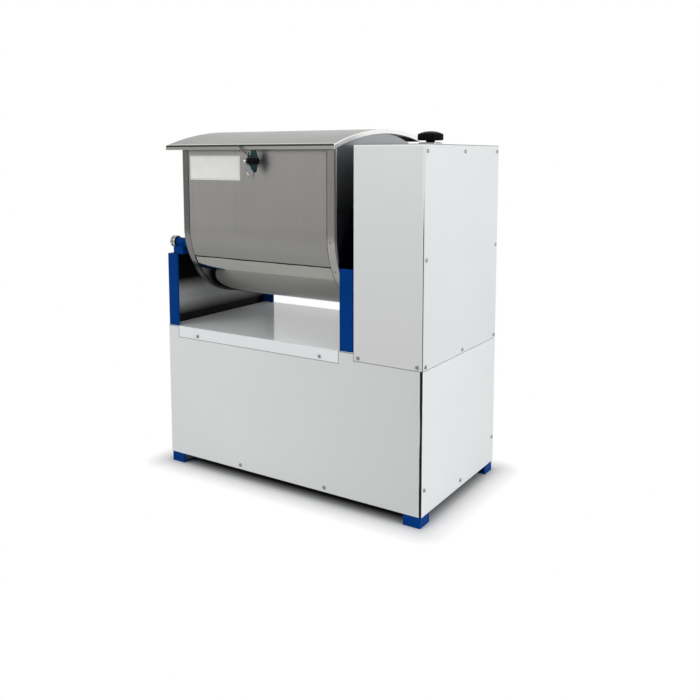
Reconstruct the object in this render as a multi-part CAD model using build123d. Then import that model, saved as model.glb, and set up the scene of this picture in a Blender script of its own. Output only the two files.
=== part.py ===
from build123d import *
from math import acos, cos, pi, radians, sin, sqrt, tan
import os

# A horizontal dough mixer: a tilting trough between two brackets, beside a drive column.
# Millimetres. X runs along the mixing shaft, -Y faces the user, Z is up.
# The origin is on the floor, below the middle of the base.

# Cabinet
width = 700.0
depth = 374.0
deck_height = 345.0
column_width = 163.0
column_rise = 433.0
foot_height = 24.0
sheet = 1.2
bend = 2.5
panel_return = 15.0
panel_seam = 1.0
column_skirt = 17.0
corner_gap = 6.0
lip_depth = 28.0
louvre_count = 7
louvre_length = 90.0
louvre_slot = 5.0
louvre_pitch = 14.0

# Angle-iron frame
angle_size = 40.0
angle_thick = 4.0
post_size = 30.0
post_thick = 3.0
rail_raise = 6.0
foot_plate = 4.0

# Brackets and their bearings
bracket_flange = 34.0
bracket_thick = 5.0
bracket_rise = 175.0
bracket_corner = 8.0
yoke_radius = 62.0
yoke_flank = 128.0
liner_thick = 1.5
liner_margin = 6.0
housing_flange_radius = 51.0
housing_flange = 8.0
housing_boss_radius = 37.0
housing_depth = 24.0
housing_bolts = 4
housing_bolt_circle = 44.0
bush_wall = 4.0

# Trough
axis_from_front = 168.0
axis_over_deck = 243.0
tub_left_gap = 62.0
tub_right_gap = 39.0
tub_radius = 174.0
tub_wall = 1.5
tub_rise = 184.0
crown_arch = 35.0
rim_depth = 22.0
rim_round = 7.0
rivet_radius = 2.2
rivet_head = 1.0
rivet_drops = (5.0, 71.0, 199.0)
rivet_turns = (27.0, 42.0)
front_sheet = 1.2
front_sheet_drop = 68.0
front_sheet_gap = 0.6
trunnion_radius = 30.0
trunnion_flange_radius = 58.0
trunnion_flange = 6.0
trunnion_bolt_circle = 46.0
trunnion_bolts = 6

# Lid
lid_overhang_left = 35.0
lid_overhang_right = 7.0
lid_front = 20.0
lid_back = 352.0
lid_radius = 707.0
lid_crown_from_front = 203.0
lid_clear = 8.0
lid_flange = 10.0
lid_edge_round = 2.0
hinge_from_end = 88.0
hinge_pin_drop = 29.0
hinge_pin_radius = 2.5
hinge_knuckle_radius = 5.0
hinge_knuckle = 20.0
hinge_ear = 12.0
hinge_leaf = 2.0
hinge_drop = 42.0

# Lid latch on the trough front, measured from the trough's right end
latch_from_right = 218.0
latch_clear = 0.9
latch_stand = 20.0
latch_plate = 3.0
latch_width = 22.0
latch_screw_radius = 3.0
latch_hub_radius = 8.0
latch_hub_length = 26.0
wing_span = 50.0
wing_width = 21.0
wing_thick = 5.0
hook_wire = 1.5

# Tilt lock on the left bracket
lock_inset = 24.0
lock_pad = 18.0
lock_pad_width = 31.0
lock_pad_depth = 40.0
lock_sleeve_radius = 10.0
lock_pin_radius = 6.0
lock_knob_radius = 14.2
lock_knob_width = 15.0
lock_tip_gap = 1.0
lock_boss = 4.0

# Mixing shaft and arms
shaft_radius = 17.5
arm_count = 5
arm_reach = 158.0
arm_root = (34.0, 15.0)
arm_tip = (38.0, 9.0)
arm_twist = 28.0
arm_step = 72.0

# Gear pair and belt drive
gear_module = 3.0
gear_teeth = 84
pinion_teeth = 18
gear_face = 30.0
gear_backlash = 0.5
gear_web = 10.0
gear_hub_radius = 36.0
gear_rim = 12.0
gear_windows = 6
gear_window_radius = 21.0
pressure_angle = 20.0
countershaft_radius = 12.5
gear_from_column = 33.0
plate_thick = 8.0
plate_gap = 17.0
plate_width = 150.0
plate_top_radius = 60.0
plate_foot = 60.0
bearing_wall = 13.0
bearing_width = 15.0
shelf_thick = 6.0
driven_pulley_radius = 144.0
motor_pulley_radius = 36.0
pulley_width = 24.0
pulley_from_side = 46.0
groove_depth = 12.0
groove_mouth = 16.0
groove_floor = 10.0
belt_height = 9.0
belt_clear = 0.4

# Motor
motor_height = 150.0
motor_radius = 68.0
motor_length = 190.0
motor_shaft_radius = 12.0
motor_fins = 24
motor_fin = 5.0
motor_fin_thick = 2.4
motor_flange = 45.0
motor_cowl = 18.0
motor_box = 80.0
motor_box_width = 60.0
motor_box_height = 22.0
motor_foot = 100.0
motor_foot_reach = 62.0
motor_foot_width = 37.0
motor_foot_height = 8.0
motor_overhang = 40.0
mount_length = 130.0
mount_thick = 6.0
shaft_end = 4.0

# Switch, cable gland and fasteners
switch_from_side = 83.0
switch_plate_size = 40.0
switch_plate_height = 6.0
switch_stem_radius = 7.0
switch_knob_radius = 28.5
switch_knob_base = 12.0
switch_knob_height = 20.0
switch_lift = 4.0
switch_depth = 50.0
gland_radius = 13.0
gland_reach = 28.0
gland_bore = 5.0
gland_height = 95.0
screw_radius = 2.0
screw_head_radius = 3.8
screw_head = 2.2
screw_length = 5.0
screw_edge = 10.0
side_screw_edge = 12.0
base_screw_left = 224.0
base_screw_right = 238.0
low_screw_front = 79.0
low_screw_middle = 39.0
low_screw_rear = 85.0
lip_screw_left = 98.0
lip_screw_right = 85.0
lip_screw_drop = 19.0
column_mid_screw = 205.0
column_top_screw = 14.0

# Clearances
running = 0.05
gap = 0.3

# Places worked out from the sizes above
left = -width / 2
right = width / 2
front = -depth / 2
rear = depth / 2
column_top = deck_height + column_rise
frame_top = deck_height - sheet
panel_top = deck_height - bend
column_left = right - column_width
column_base = deck_height - column_skirt
bracket_top = deck_height + bracket_rise
axis_y = front + axis_from_front
axis_z = deck_height + axis_over_deck
crown_rise = tub_rise + crown_arch
lid_crown_height = axis_z + crown_rise + lid_clear
lid_reach = lid_crown_from_front + lid_front
lid_fold_low = lid_crown_height - lid_radius + sqrt(lid_radius**2 - lid_reach**2) - lid_flange
tub_left = left + tub_left_gap
tub_right = column_left - tub_right_gap
skin_radius = tub_radius - tub_wall
inner_radius = skin_radius - tub_wall
left_web = left + bracket_thick
right_web = column_left - bracket_thick
plate_1 = column_left + gear_from_column - plate_gap - plate_thick
gear_left = plate_1 + plate_thick + plate_gap
plate_2 = gear_left + gear_face + plate_gap / 2
pulley_left = right - pulley_from_side - pulley_width
shelf_top = frame_top + shelf_thick
gear_radius = gear_module * gear_teeth / 2
pinion_radius = gear_module * pinion_teeth / 2
counter_z = axis_z - gear_radius - pinion_radius
shaft_left = left_web + gap + liner_thick
shaft_right = plate_2 + plate_thick + 5
face_y = axis_y - skin_radius - front_sheet
latch_y = face_y - latch_stand
latch_x = tub_right - latch_from_right
latch_z = lid_fold_low - latch_clear - wing_span / 2
lock_y = front + lock_inset
lock_z = bracket_top + lock_pad + lock_sleeve_radius
pin_y = front + lid_back + hinge_knuckle_radius + 1
pin_z = lid_crown_height - hinge_pin_drop
switch_x = right - switch_from_side


def block(x, y, z):
    """A box from three (low, high) pairs."""
    middle = [(low + high) / 2 for low, high in (x, y, z)]
    size = [high - low for low, high in (x, y, z)]
    return Pos(*middle) * Box(*size)


def rod(start, axis, radius, length):
    """A round bar from a start point along +X, +Y or +Z, or backwards for a negative length."""
    turn = {"X": Rot(0, 90, 0), "Y": Rot(-90, 0, 0), "Z": Rot(0, 0, 0)}[axis]
    bar = Cylinder(radius, abs(length), align=(Align.CENTER, Align.CENTER, Align.MIN))
    if length < 0:
        bar = Pos(0, 0, length) * bar
    return Pos(*start) * turn * bar


def ring(start, axis, radius, bore, length):
    """A round tube along an axis."""
    return rod(start, axis, radius, length) - rod(start, axis, bore, length)


def bent_sheet(points, plane, length):
    """A folded sheet: its outer line has the metal on its left, and is drawn along the plane's normal."""
    line = FilletPolyline(*points, radius=bend)
    profile = make_face(offset(line, amount=sheet, side=Side.LEFT, closed=True))
    return extrude(plane * profile, length)


def angle_profile(size, thick):
    """An angle iron's section with its rounded outer corner at the origin."""
    profile = Polyline((0, 0), (size, 0), (size, thick), (thick, thick), (thick, size), (0, size), close=True)
    profile = make_face(profile)
    return fillet(profile.vertices().sort_by_distance((0, 0))[0], bend)


def angle_bar(size, thick, length):
    """An upright angle iron with its outer corner at the origin."""
    return extrude(angle_profile(size, thick), length)


def group(*solids):
    """Separate solids kept together in one node."""
    return Compound(children=[piece for item in solids for piece in item.solids()])


def screw(position, axis, way):
    """A pan-head screw whose head sits at position and whose shank goes the way of the axis."""
    head = rod(position, axis, screw_head_radius, -way * screw_head)
    rim = head.edges().group_by({"X": Axis.X, "Y": Axis.Y, "Z": Axis.Z}[axis])[0 if way > 0 else -1]
    return fillet(rim, screw_head * 0.6) + rod(position, axis, screw_radius, way * screw_length)


def drill(part, places):
    """Clearance holes for screws, through whatever lies under their heads."""
    for position, axis, way in places:
        part -= rod(position, axis, screw_radius + running * 2, way * screw_length * 2)
    return part


def lid_surface(y, inset=0.0):
    """Height of the lid's skin at a depth, less an inset."""
    across = y - front - lid_crown_from_front
    return lid_crown_height - lid_radius + sqrt((lid_radius - inset) ** 2 - across**2)


# Screw places: position under the head, axis and the way the shank goes
screw_low = foot_height + screw_edge
screw_rows = (deck_height - screw_edge, deck_height + column_mid_screw, column_top - column_top_screw)
base_screw_places = (left + base_screw_left, right - base_screw_right)
base_front_screws = [((x, front, screw_low), "Y", 1) for x in base_screw_places]
base_rear_screws = [((-x, rear, z), "Y", -1) for (x, _, z), _, _ in base_front_screws]
base_side_places = [
    (front + side_screw_edge, low_screw_front),
    (0.0, low_screw_middle),
    (rear - side_screw_edge, low_screw_rear),
]
base_right_screws = [((right, y, z), "X", -1) for y, z in base_side_places]
base_left_screws = [((left, y, z), "X", 1) for y, z in base_side_places]
lip_screws = [
    ((x, front - sheet, deck_height - lip_screw_drop), "Y", 1)
    for x in (left + lip_screw_left, column_left - lip_screw_right)
]
column_front_places = [column_left + side_screw_edge, right - side_screw_edge]
column_front_screws = [((x, front, screw_rows[0]), "Y", 1) for x in column_front_places]
column_rear_screws = [((x, rear, z), "Y", -1) for x in column_front_places for z in screw_rows]
column_side_screws = [
    ((right, y, z), "X", -1)
    for z in screw_rows
    for y in (front + side_screw_edge, 0.0, rear - side_screw_edge)
    if y or z != screw_rows[1]
]


def mirrored(part, x_way, y_way):
    """A copy turned over in X or Y, for the other corners."""
    if x_way < 0:
        part = mirror(part, Plane.YZ)
    if y_way < 0:
        part = mirror(part, Plane.XZ)
    return part


def corner_legs():
    """The four legs of the frame, open towards the middle, each on a foot plate."""
    leg = angle_bar(angle_size, angle_thick, frame_top)
    leg += block((bend, angle_size), (bend, angle_size), (0, foot_plate))
    legs = []
    for x_way in (1, -1):
        for y_way in (1, -1):
            place = Pos(-x_way * (width / 2 - 2 * sheet), -y_way * (depth / 2 - sheet), 0)
            legs.append(drill(place * mirrored(leg, x_way, y_way), all_screws))
    return group(*legs)


def base_rails():
    """Angle rails between the legs, at the bottom and at deck level, flat side up."""
    long_half = width / 2 - 2 * sheet - angle_size
    side_half = depth / 2 - sheet - angle_size
    section = mirror(angle_profile(angle_size, angle_thick), Plane.XZ)
    long_rail = extrude(Plane.YZ * section, long_half, both=True)
    side_rail = extrude(Plane.XZ * section, side_half, both=True)
    rails = []
    for top in (foot_height + rail_raise + angle_size, frame_top):
        for way in (1, -1):
            rails.append(Pos(0, -way * (depth / 2 - sheet), top) * mirrored(long_rail, 1, way))
            rails.append(Pos(-way * (width / 2 - 2 * sheet), 0, top) * mirrored(side_rail, way, 1))
    return group(*[drill(rail, all_screws) for rail in rails])


def column_posts():
    """Four uprights of the drive column, standing on its shelf."""
    posts = []
    for x, x_way in ((column_left + sheet, 1), (right - 2 * sheet, -1)):
        for y, y_way in ((front + sheet, 1), (rear - sheet, -1)):
            post = mirrored(angle_bar(post_size, post_thick, column_top - sheet - shelf_top), x_way, y_way)
            posts.append(drill(Pos(x, y, shelf_top) * post, all_screws))
    return group(*posts)


def front_panel():
    """Base front: its right edge stands away from the side panel in a shallow bow."""
    x_left = left + sheet
    height = panel_top - foot_height
    points = [(x_left, front + panel_return), (x_left, front), (right - sheet, front)]
    panel = Pos(0, 0, foot_height) * bent_sheet(points, Plane.XY, height)
    depths = (front - 1, front + sheet + 1)
    under = block((column_left, right), depths, (column_base - panel_seam, frame_top + 1))
    mid = foot_height + height * 0.45
    bow = ThreePointArc(
        (right - sheet, foot_height), (right - sheet - corner_gap, mid), (right - sheet, column_base)
    )
    sliver = make_face(bow + Line((right - sheet, column_base), (right - sheet, foot_height)))
    sliver = extrude(Pos(0, front + sheet * 2, 0) * Plane.XZ * sliver, sheet * 4)
    return drill(panel - under - sliver, all_screws)


def rear_panel():
    """Base rear, with air slots behind the motor."""
    points = [
        (right - sheet, rear - panel_return),
        (right - sheet, rear),
        (left + sheet, rear),
        (left + sheet, rear - panel_return),
    ]
    panel = Pos(0, 0, foot_height) * bent_sheet(points, Plane.XY, panel_top - foot_height)
    panel -= block((column_left, right), (rear - 20, rear + 1), (column_base - panel_seam, frame_top + 1))
    slot = Rot(90, 0, 0) * SlotOverall(louvre_length, louvre_slot)
    for row in range(louvre_count):
        height = motor_height + (row - (louvre_count - 1) / 2) * louvre_pitch
        for x in (motor_middle - louvre_length * 0.7, motor_middle + louvre_length * 0.7):
            panel -= extrude(Pos(x, rear + 1, height) * slot, sheet * 3)
    panel -= rod((left + 90, rear + 1, gland_height), "Y", gland_radius * 0.7, -4)
    return drill(panel, all_screws)


def base_side(x, x_way, top):
    """A flat side of the base, between the folds of the front and rear panels."""
    span = sorted((x, x + x_way * sheet))
    panel = block(span, (front + bend, rear - bend), (foot_height, top))
    return drill(panel, base_left_screws + base_right_screws)


def deck_plate():
    """The tray under the trough, with a lip folded down over the front panel."""
    points = [(rear, deck_height), (front - sheet, deck_height), (front - sheet, deck_height - lip_depth)]
    deck = Pos(left, 0, 0) * bent_sheet(points, Plane.YZ, column_left - left)
    for x in ((left - 1, left + bracket_flange + 2), (column_left - bracket_flange - 2, column_left + 1)):
        deck -= block(x, (front - 3, front), (deck_height - lip_depth - 1, deck_height + 1))
        deck -= block(x, (front - 3, front + sheet), (deck_height - lip_depth - 1, frame_top))
    return drill(deck, lip_screws)


def column_front():
    x_right = right - sheet
    fold = front + panel_return
    points = [(column_left, fold), (column_left, front), (x_right, front), (x_right, fold)]
    panel = Pos(0, 0, column_base) * bent_sheet(points, Plane.XY, column_top - sheet - column_base)
    panel -= block((column_left - 1, column_left + 5), (front + sheet, rear), (column_base - 1, deck_height))
    return drill(panel, all_screws)


def column_rear():
    x_right = right - sheet
    fold = rear - panel_return
    points = [(x_right, fold), (x_right, rear), (column_left, rear), (column_left, fold)]
    panel = Pos(0, 0, column_base) * bent_sheet(points, Plane.XY, column_top - sheet - column_base)
    panel -= block((column_left - 1, column_left + 5), (front, rear - sheet), (column_base - 1, deck_height))
    return drill(panel, all_screws)


def column_side():
    height = (column_base - panel_seam / 2, column_top - sheet)
    panel = block((right - sheet, right), (front + bend, rear - bend), height)
    return drill(panel, column_side_screws)


def column_inner():
    """The column's wall behind the right bracket, with a hole for the mixing shaft."""
    wall = block(
        (column_left, column_left + sheet),
        (front + panel_return + gap, rear - panel_return - gap),
        (deck_height, column_top - sheet),
    )
    return wall - rod((column_left - 1, axis_y, axis_z), "X", trunnion_radius, 4)


def column_cover():
    """The column's top plate, with a hole for the switch."""
    cover = block((column_left, right), (front, rear), (column_top - sheet, column_top))
    cover = fillet(cover.edges().filter_by(Axis.Z), bend)
    return cover - rod((switch_x, 0, column_top + 1), "Z", switch_stem_radius + 2, -4)


def drive_shelf():
    """The plate on the frame that carries the column and its bearing plates, cut out for the pulley."""
    span = (column_left + sheet, right - 2 * sheet)
    shelf = block(span, (front + sheet, rear - sheet), (frame_top, shelf_top))
    shelf = fillet(shelf.edges().filter_by(Axis.Z), bend)
    half = sqrt(driven_pulley_radius**2 - (counter_z - shelf_top) ** 2) + 5
    slot = block(
        (pulley_left - 6, pulley_left + pulley_width + 6),
        (axis_y - half, axis_y + half),
        (frame_top - 1, shelf_top + 1),
    )
    return shelf - slot


def bracket(x_outer, way, bored):
    """A channel open towards the trough; its web rises to a round yoke for the bearing."""
    flange_edge = x_outer + way * bracket_flange
    web_edge = x_outer + way * bracket_thick
    low, high = sorted((x_outer, flange_edge))
    channel = block((low, high), (front, rear), (deck_height, bracket_top))
    corners = channel.edges().filter_by(Axis.Z).filter_by_position(Axis.X, x_outer - gap, x_outer + gap)
    channel = fillet(corners, bracket_corner)
    low, high = sorted((web_edge, flange_edge + way))
    inside = (front + bracket_thick, rear - bracket_thick)
    channel -= block((low, high), inside, (deck_height - 1, bracket_top + 1))
    foot = yoke_flank
    reach = axis_z - bracket_top
    lean = acos(yoke_radius / sqrt(foot**2 + reach**2)) - acos(foot / sqrt(foot**2 + reach**2))
    yoke = Polyline(
        (axis_y - foot, bracket_top - 10),
        (axis_y - foot, bracket_top),
        (axis_y - yoke_radius * cos(lean), axis_z + yoke_radius * sin(lean)),
    )
    yoke += ThreePointArc(
        (axis_y - yoke_radius * cos(lean), axis_z + yoke_radius * sin(lean)),
        (axis_y, axis_z + yoke_radius),
        (axis_y + yoke_radius * cos(lean), axis_z + yoke_radius * sin(lean)),
    )
    yoke += Polyline(
        (axis_y + yoke_radius * cos(lean), axis_z + yoke_radius * sin(lean)),
        (axis_y + foot, bracket_top),
        (axis_y + foot, bracket_top - 10),
        (axis_y - foot, bracket_top - 10),
    )
    web_low = min(x_outer, web_edge)
    channel += Pos(web_low, 0, 0) * extrude(Plane.YZ * make_face(yoke), bracket_thick)
    if bored:
        channel -= rod((web_low - 1, axis_y, axis_z), "X", trunnion_radius + 1.5, bracket_thick + 2)
    return channel


def bracket_liners():
    """Dark plates that line the insides of the brackets."""
    span = (front + bracket_thick + liner_margin, rear - bracket_thick - liner_margin)
    height = (deck_height, bracket_top - liner_margin)
    return group(
        block((left_web, left_web + liner_thick), span, height),
        block((right_web - liner_thick, right_web), span, height),
    )


def bolt_circle(radius, count, start=45.0):
    """Places of equally spaced bolts round the mixing axis."""
    turns = [radians(start + 360 * number / count) for number in range(count)]
    return [(axis_y + radius * cos(turn), axis_z + radius * sin(turn)) for turn in turns]


def bearing_housing(x, way):
    """A round flange bearing on the inside of a bracket's web."""
    body = rod((x, axis_y, axis_z), "X", housing_flange_radius, way * housing_flange)
    body += rod((x, axis_y, axis_z), "X", housing_boss_radius, way * housing_depth)
    bore = trunnion_radius + bush_wall + running
    body -= rod((x - way, axis_y, axis_z), "X", bore, way * (housing_depth + 2))
    for y, z in bolt_circle(housing_bolt_circle, housing_bolts):
        body -= rod((x - way, y, z), "X", 3.2, way * (housing_flange + 2))
    return body


def trunnion_bush(x, way):
    outer = trunnion_radius + bush_wall
    return ring((x, axis_y, axis_z), "X", outer, trunnion_radius + running, way * housing_depth)


def bearing_bolts():
    """Hexagon bolts through the housings, with heads on the flange."""
    bolts = []
    for x, way in ((left_web, 1), (right_web, -1)):
        seat = x + way * housing_flange
        for y, z in bolt_circle(housing_bolt_circle, housing_bolts):
            head = extrude(Pos(seat, y, z) * Rot(0, 90, 0) * RegularPolygon(5.5, 6), way * 4)
            bolts.append(head + rod((seat, y, z), "X", 3, -way * housing_flange))
    return group(*bolts)


def trough_outline(radius, top, crown):
    """The U outline of the trough about its axis, with an arched or flat top."""
    outline = Line((-radius, top), (-radius, 0)) + ThreePointArc((-radius, 0), (0, -radius), (radius, 0))
    outline += Line((radius, 0), (radius, top))
    if crown > top:
        outline += ThreePointArc((radius, top), (0, crown), (-radius, top))
    else:
        outline += Line((radius, top), (-radius, top))
    return make_face(outline)


def trough_prism(x, length, radius, top, crown=0.0):
    outline = Plane.YZ * trough_outline(radius, top, max(crown, top))
    return Pos(x, axis_y, axis_z) * extrude(outline, length)


def tub_end():
    """A pressed end plate: arched top, and a rounded rim folded over the ends of the trough sheet."""
    dish = trough_prism(0, rim_depth, tub_radius, tub_rise, crown_rise)
    outer = dish.faces().sort_by(Axis.X)[0].edges().filter_by(
        lambda edge: edge.center().Z < axis_z + tub_rise
    )
    dish = fillet(outer, rim_round)
    pocket = trough_prism(tub_wall, rim_depth, skin_radius, tub_rise + 60)
    floor = pocket.faces().sort_by(Axis.X)[0].edges().filter_by(
        lambda edge: edge.center().Z < axis_z + tub_rise + 50
    )
    dish -= fillet(floor, rim_round - tub_wall)
    return dish - rod((-1, axis_y, axis_z), "X", shaft_radius + 3, tub_wall + 2)


def tub_end_left():
    plate = Pos(tub_left, 0, 0) * tub_end()
    for y, z in bolt_circle(trunnion_bolt_circle, trunnion_bolts, 30):
        plate -= rod((tub_left - 1, y, z), "X", 3.1, tub_wall + 2)
    return plate


def tub_end_right():
    plate = Pos(tub_right, 0, 0) * mirror(tub_end(), Plane.YZ)
    for y, z in bolt_circle(trunnion_bolt_circle, trunnion_bolts, 30):
        plate -= rod((tub_right + 1, y, z), "X", 3.1, -tub_wall - 2)
    return plate


def tub_shell():
    """The trough sheet, bent to a U, held inside the rims of the end plates."""
    length = tub_right - tub_left - 2 * tub_wall
    solid = trough_prism(tub_left + tub_wall, length, skin_radius, tub_rise)
    space = trough_prism(tub_left, length + 2 * tub_wall, inner_radius, tub_rise + 5)
    shell = solid - space
    for end, way in ((tub_left, 1), (tub_right, -1)):
        block_low, block_high = sorted((end, end + way * rim_round))
        shell -= block((block_low, block_high), (axis_y - 200, axis_y + 200), (axis_z - 200, axis_z + 300))
    return shell


def tub_front_sheet():
    """A second sheet on the trough's front, whose lower edge makes the crease seen there."""
    margin = rim_depth + front_sheet_gap
    length = tub_right - tub_left - 2 * margin
    cover = trough_prism(tub_left + margin, length, skin_radius + front_sheet, tub_rise)
    cover -= trough_prism(tub_left, tub_right - tub_left, skin_radius, tub_rise + 5)
    away = tub_radius * 2
    cover -= block((tub_left, tub_right), (axis_y, axis_y + away), (axis_z - away, axis_z + away))
    lower = (axis_z - away, axis_z - front_sheet_drop)
    return cover - block((tub_left, tub_right), (axis_y - away, axis_y + 1), lower)


def trunnion(x, way, end):
    """A hollow journal bolted to an end plate; the trough tilts on it and the shaft runs inside it."""
    body = rod((x, axis_y, axis_z), "X", trunnion_flange_radius, way * trunnion_flange)
    body += rod((x, axis_y, axis_z), "X", trunnion_radius, end - x)
    for y, z in bolt_circle(trunnion_bolt_circle, trunnion_bolts, 30):
        body -= rod((x - way, y, z), "X", 3.1, way * (trunnion_flange + 2))
    return body - rod((x - way, axis_y, axis_z), "X", shaft_radius + running, end - x + 2 * way)


def trunnions():
    return group(
        trunnion(tub_left, -1, left_web + liner_thick + 1),
        trunnion(tub_right, 1, column_left - 1),
    )


def trunnion_bolt_set():
    bolts = []
    for x, way in ((tub_left - trunnion_flange, -1), (tub_right + trunnion_flange, 1)):
        for y, z in bolt_circle(trunnion_bolt_circle, trunnion_bolts, 30):
            head = extrude(Pos(x, y, z) * Rot(0, 90, 0) * RegularPolygon(5.0, 6), way * 3.5)
            bolts.append(head + rod((x, y, z), "X", 3, -way * (trunnion_flange + tub_wall)))
    return group(*bolts)


def rim_rivets():
    """Small round heads along both front rims."""
    head = rod((0, -tub_radius, 0), "Y", rivet_radius, -rivet_head)
    rivets = []
    for x in (tub_left + rim_depth * 0.7, tub_right - rim_depth * 0.7):
        rivets += [Pos(x, axis_y, axis_z + tub_rise - drop) * head for drop in rivet_drops]
        rivets += [Pos(x, axis_y, axis_z) * Rot(turn, 0, 0) * head for turn in rivet_turns]
    return group(*rivets)


def hinge_places():
    return [tub_left + hinge_from_end, tub_right - hinge_from_end]


def tub_hinges():
    """Straps on the trough's back that carry the middle knuckle of each hinge."""
    wall = axis_y + skin_radius
    straps = []
    for x in hinge_places():
        span = (x - hinge_knuckle / 2, x + hinge_knuckle / 2)
        shelf = pin_z - hinge_knuckle_radius
        strap = block(span, (wall, wall + hinge_leaf), (shelf - hinge_drop, shelf))
        strap += block(span, (wall, pin_y), (shelf - hinge_leaf, shelf))
        strap += block(span, (pin_y - hinge_leaf, pin_y), (shelf - hinge_leaf, pin_z))
        strap += rod((span[0], pin_y, pin_z), "X", hinge_knuckle_radius, hinge_knuckle)
        bore = rod((span[0] - 1, pin_y, pin_z), "X", hinge_pin_radius + running, hinge_knuckle + 2)
        straps.append(strap - bore)
    return group(*straps)


def lid_hinges():
    """Leaves on the lid's back fold that carry the outer knuckles."""
    fold = front + lid_back
    leaves = []
    for x in hinge_places():
        for start in (x - hinge_knuckle / 2 - gap - hinge_ear, x + hinge_knuckle / 2 + gap):
            span = (start, start + hinge_ear)
            leaf = block(span, (fold, fold + hinge_leaf), (pin_z, lid_surface(fold) - lid_edge_round))
            leaf += rod((start, pin_y, pin_z), "X", hinge_knuckle_radius, hinge_ear)
            leaves.append(leaf - rod((start - 1, pin_y, pin_z), "X", hinge_pin_radius, hinge_ear + 2))
    return group(*leaves)


def hinge_pins():
    length = hinge_knuckle + 2 * (gap + hinge_ear)
    pin = rod((-length / 2, pin_y, pin_z), "X", hinge_pin_radius, length)
    return group(*[Pos(x, 0, 0) * pin for x in hinge_places()])


def lid():
    """An arched sheet with a fold turned down on all four sides."""
    low_x, high_x = tub_left - lid_overhang_left, tub_right + lid_overhang_right
    low_y, high_y = front - lid_front, front + lid_back
    crown_y = front + lid_crown_from_front

    def arched(y_low, y_high, inset, drop):
        top = ThreePointArc(
            (y_low, lid_surface(y_low, inset)), (crown_y, lid_surface(crown_y, inset)),
            (y_high, lid_surface(y_high, inset)),
        )
        under = ThreePointArc(
            (y_high, lid_surface(y_high, drop)), (crown_y, lid_surface(crown_y, drop)),
            (y_low, lid_surface(y_low, drop)),
        )
        sides = Line(top @ 1, under @ 0) + Line(under @ 1, top @ 0)
        return Plane.YZ * make_face(top + under + sides)

    cover = Pos(low_x, 0, 0) * extrude(arched(low_y, high_y, 0, lid_flange), high_x - low_x)
    cover = fillet(cover.faces().sort_by(Axis.Z)[-1].edges(), lid_edge_round)
    hollow = arched(low_y + sheet, high_y - sheet, sheet, lid_flange + 20)
    return cover - Pos(low_x + sheet, 0, 0) * extrude(hollow, high_x - low_x - 2 * sheet)


def latch_bracket():
    """A plate on the trough front with an ear for the latch screw."""
    foot = block(
        (latch_x - latch_plate - latch_width, latch_x), (face_y - 2, face_y), (latch_z - 36, latch_z + 22)
    )
    foot = fillet(foot.edges().filter_by(Axis.Y), 3)
    root = [(face_y, latch_z - 20), (face_y, latch_z + 18)]
    profile = make_face(Polyline(*root, (latch_y + 2, latch_z + 7), (latch_y, latch_z - 7), close=True))
    ear = Pos(latch_x - latch_plate, 0, 0) * extrude(Plane.YZ * profile, latch_plate)
    ear += rod((latch_x - latch_plate, latch_y, latch_z), "X", 7, latch_plate)
    bore = latch_screw_radius + running
    ear -= rod((latch_x - latch_plate - 1, latch_y, latch_z), "X", bore, latch_plate + 2)
    return foot + ear


def latch_bolts():
    """Two dome-head bolts that hold the latch plate."""
    bolts = []
    for z in (latch_z - 29, latch_z + 15):
        head = rod((latch_x - latch_plate - latch_width / 2, face_y - 2, z), "Y", 5, -3.5)
        bolts.append(fillet(head.edges().sort_by(Axis.Y)[0], 3))
    return group(*bolts)


def latch_knob():
    """A wing knob with its screw; a dome nut closes the screw's far end."""
    start = latch_x + latch_plate + 2 * gap
    hub = rod((start, latch_y, latch_z), "X", latch_hub_radius, latch_hub_length)
    hub = fillet(hub.edges().filter_by(GeomType.CIRCLE), 2)
    inner = start + latch_hub_length - wing_width
    tip = wing_span / 2
    wing = Polyline(
        (inner + 5, 0), (inner, tip * 0.64), (inner + 4, tip), (inner + wing_width - 5, tip),
        (inner + wing_width, tip * 0.6), (inner + wing_width - 7, 0), close=True,
    )
    blade = extrude(Plane.XZ * make_face(wing), wing_thick / 2, both=True)
    blade = fillet(blade.edges().filter_by(Axis.Y), 2.5)
    wings = Pos(0, latch_y, latch_z) * blade
    wings += Pos(0, latch_y, latch_z) * mirror(blade, Plane.XY)
    nut_end = latch_x - latch_plate - gap
    screw_bar = rod((nut_end - 2, latch_y, latch_z), "X", latch_screw_radius, start - nut_end + 4)
    nut = rod((nut_end, latch_y, latch_z), "X", 5.2, -8)
    nut = fillet(nut.edges().sort_by(Axis.X)[0], 4)
    return hub + wings, screw_bar + nut - hub


def latch_hook():
    """A bent wire hook on the latch screw, in front of the lid's fold."""
    middle = latch_x + latch_plate / 2 + gap
    eye = ring((middle - hook_wire, latch_y, latch_z), "X", 6, latch_screw_radius + running, 2 * hook_wire)
    top = (latch_x - 26, latch_y, latch_z + 34)
    route = FilletPolyline((middle, latch_y, latch_z + 5), (middle, latch_y, latch_z + 13), top, radius=4)
    wire = sweep(Plane(origin=route @ 0, z_dir=route % 0) * Circle(hook_wire), path=route)
    return eye + wire + Pos(*top) * Sphere(hook_wire * 1.6)


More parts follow.
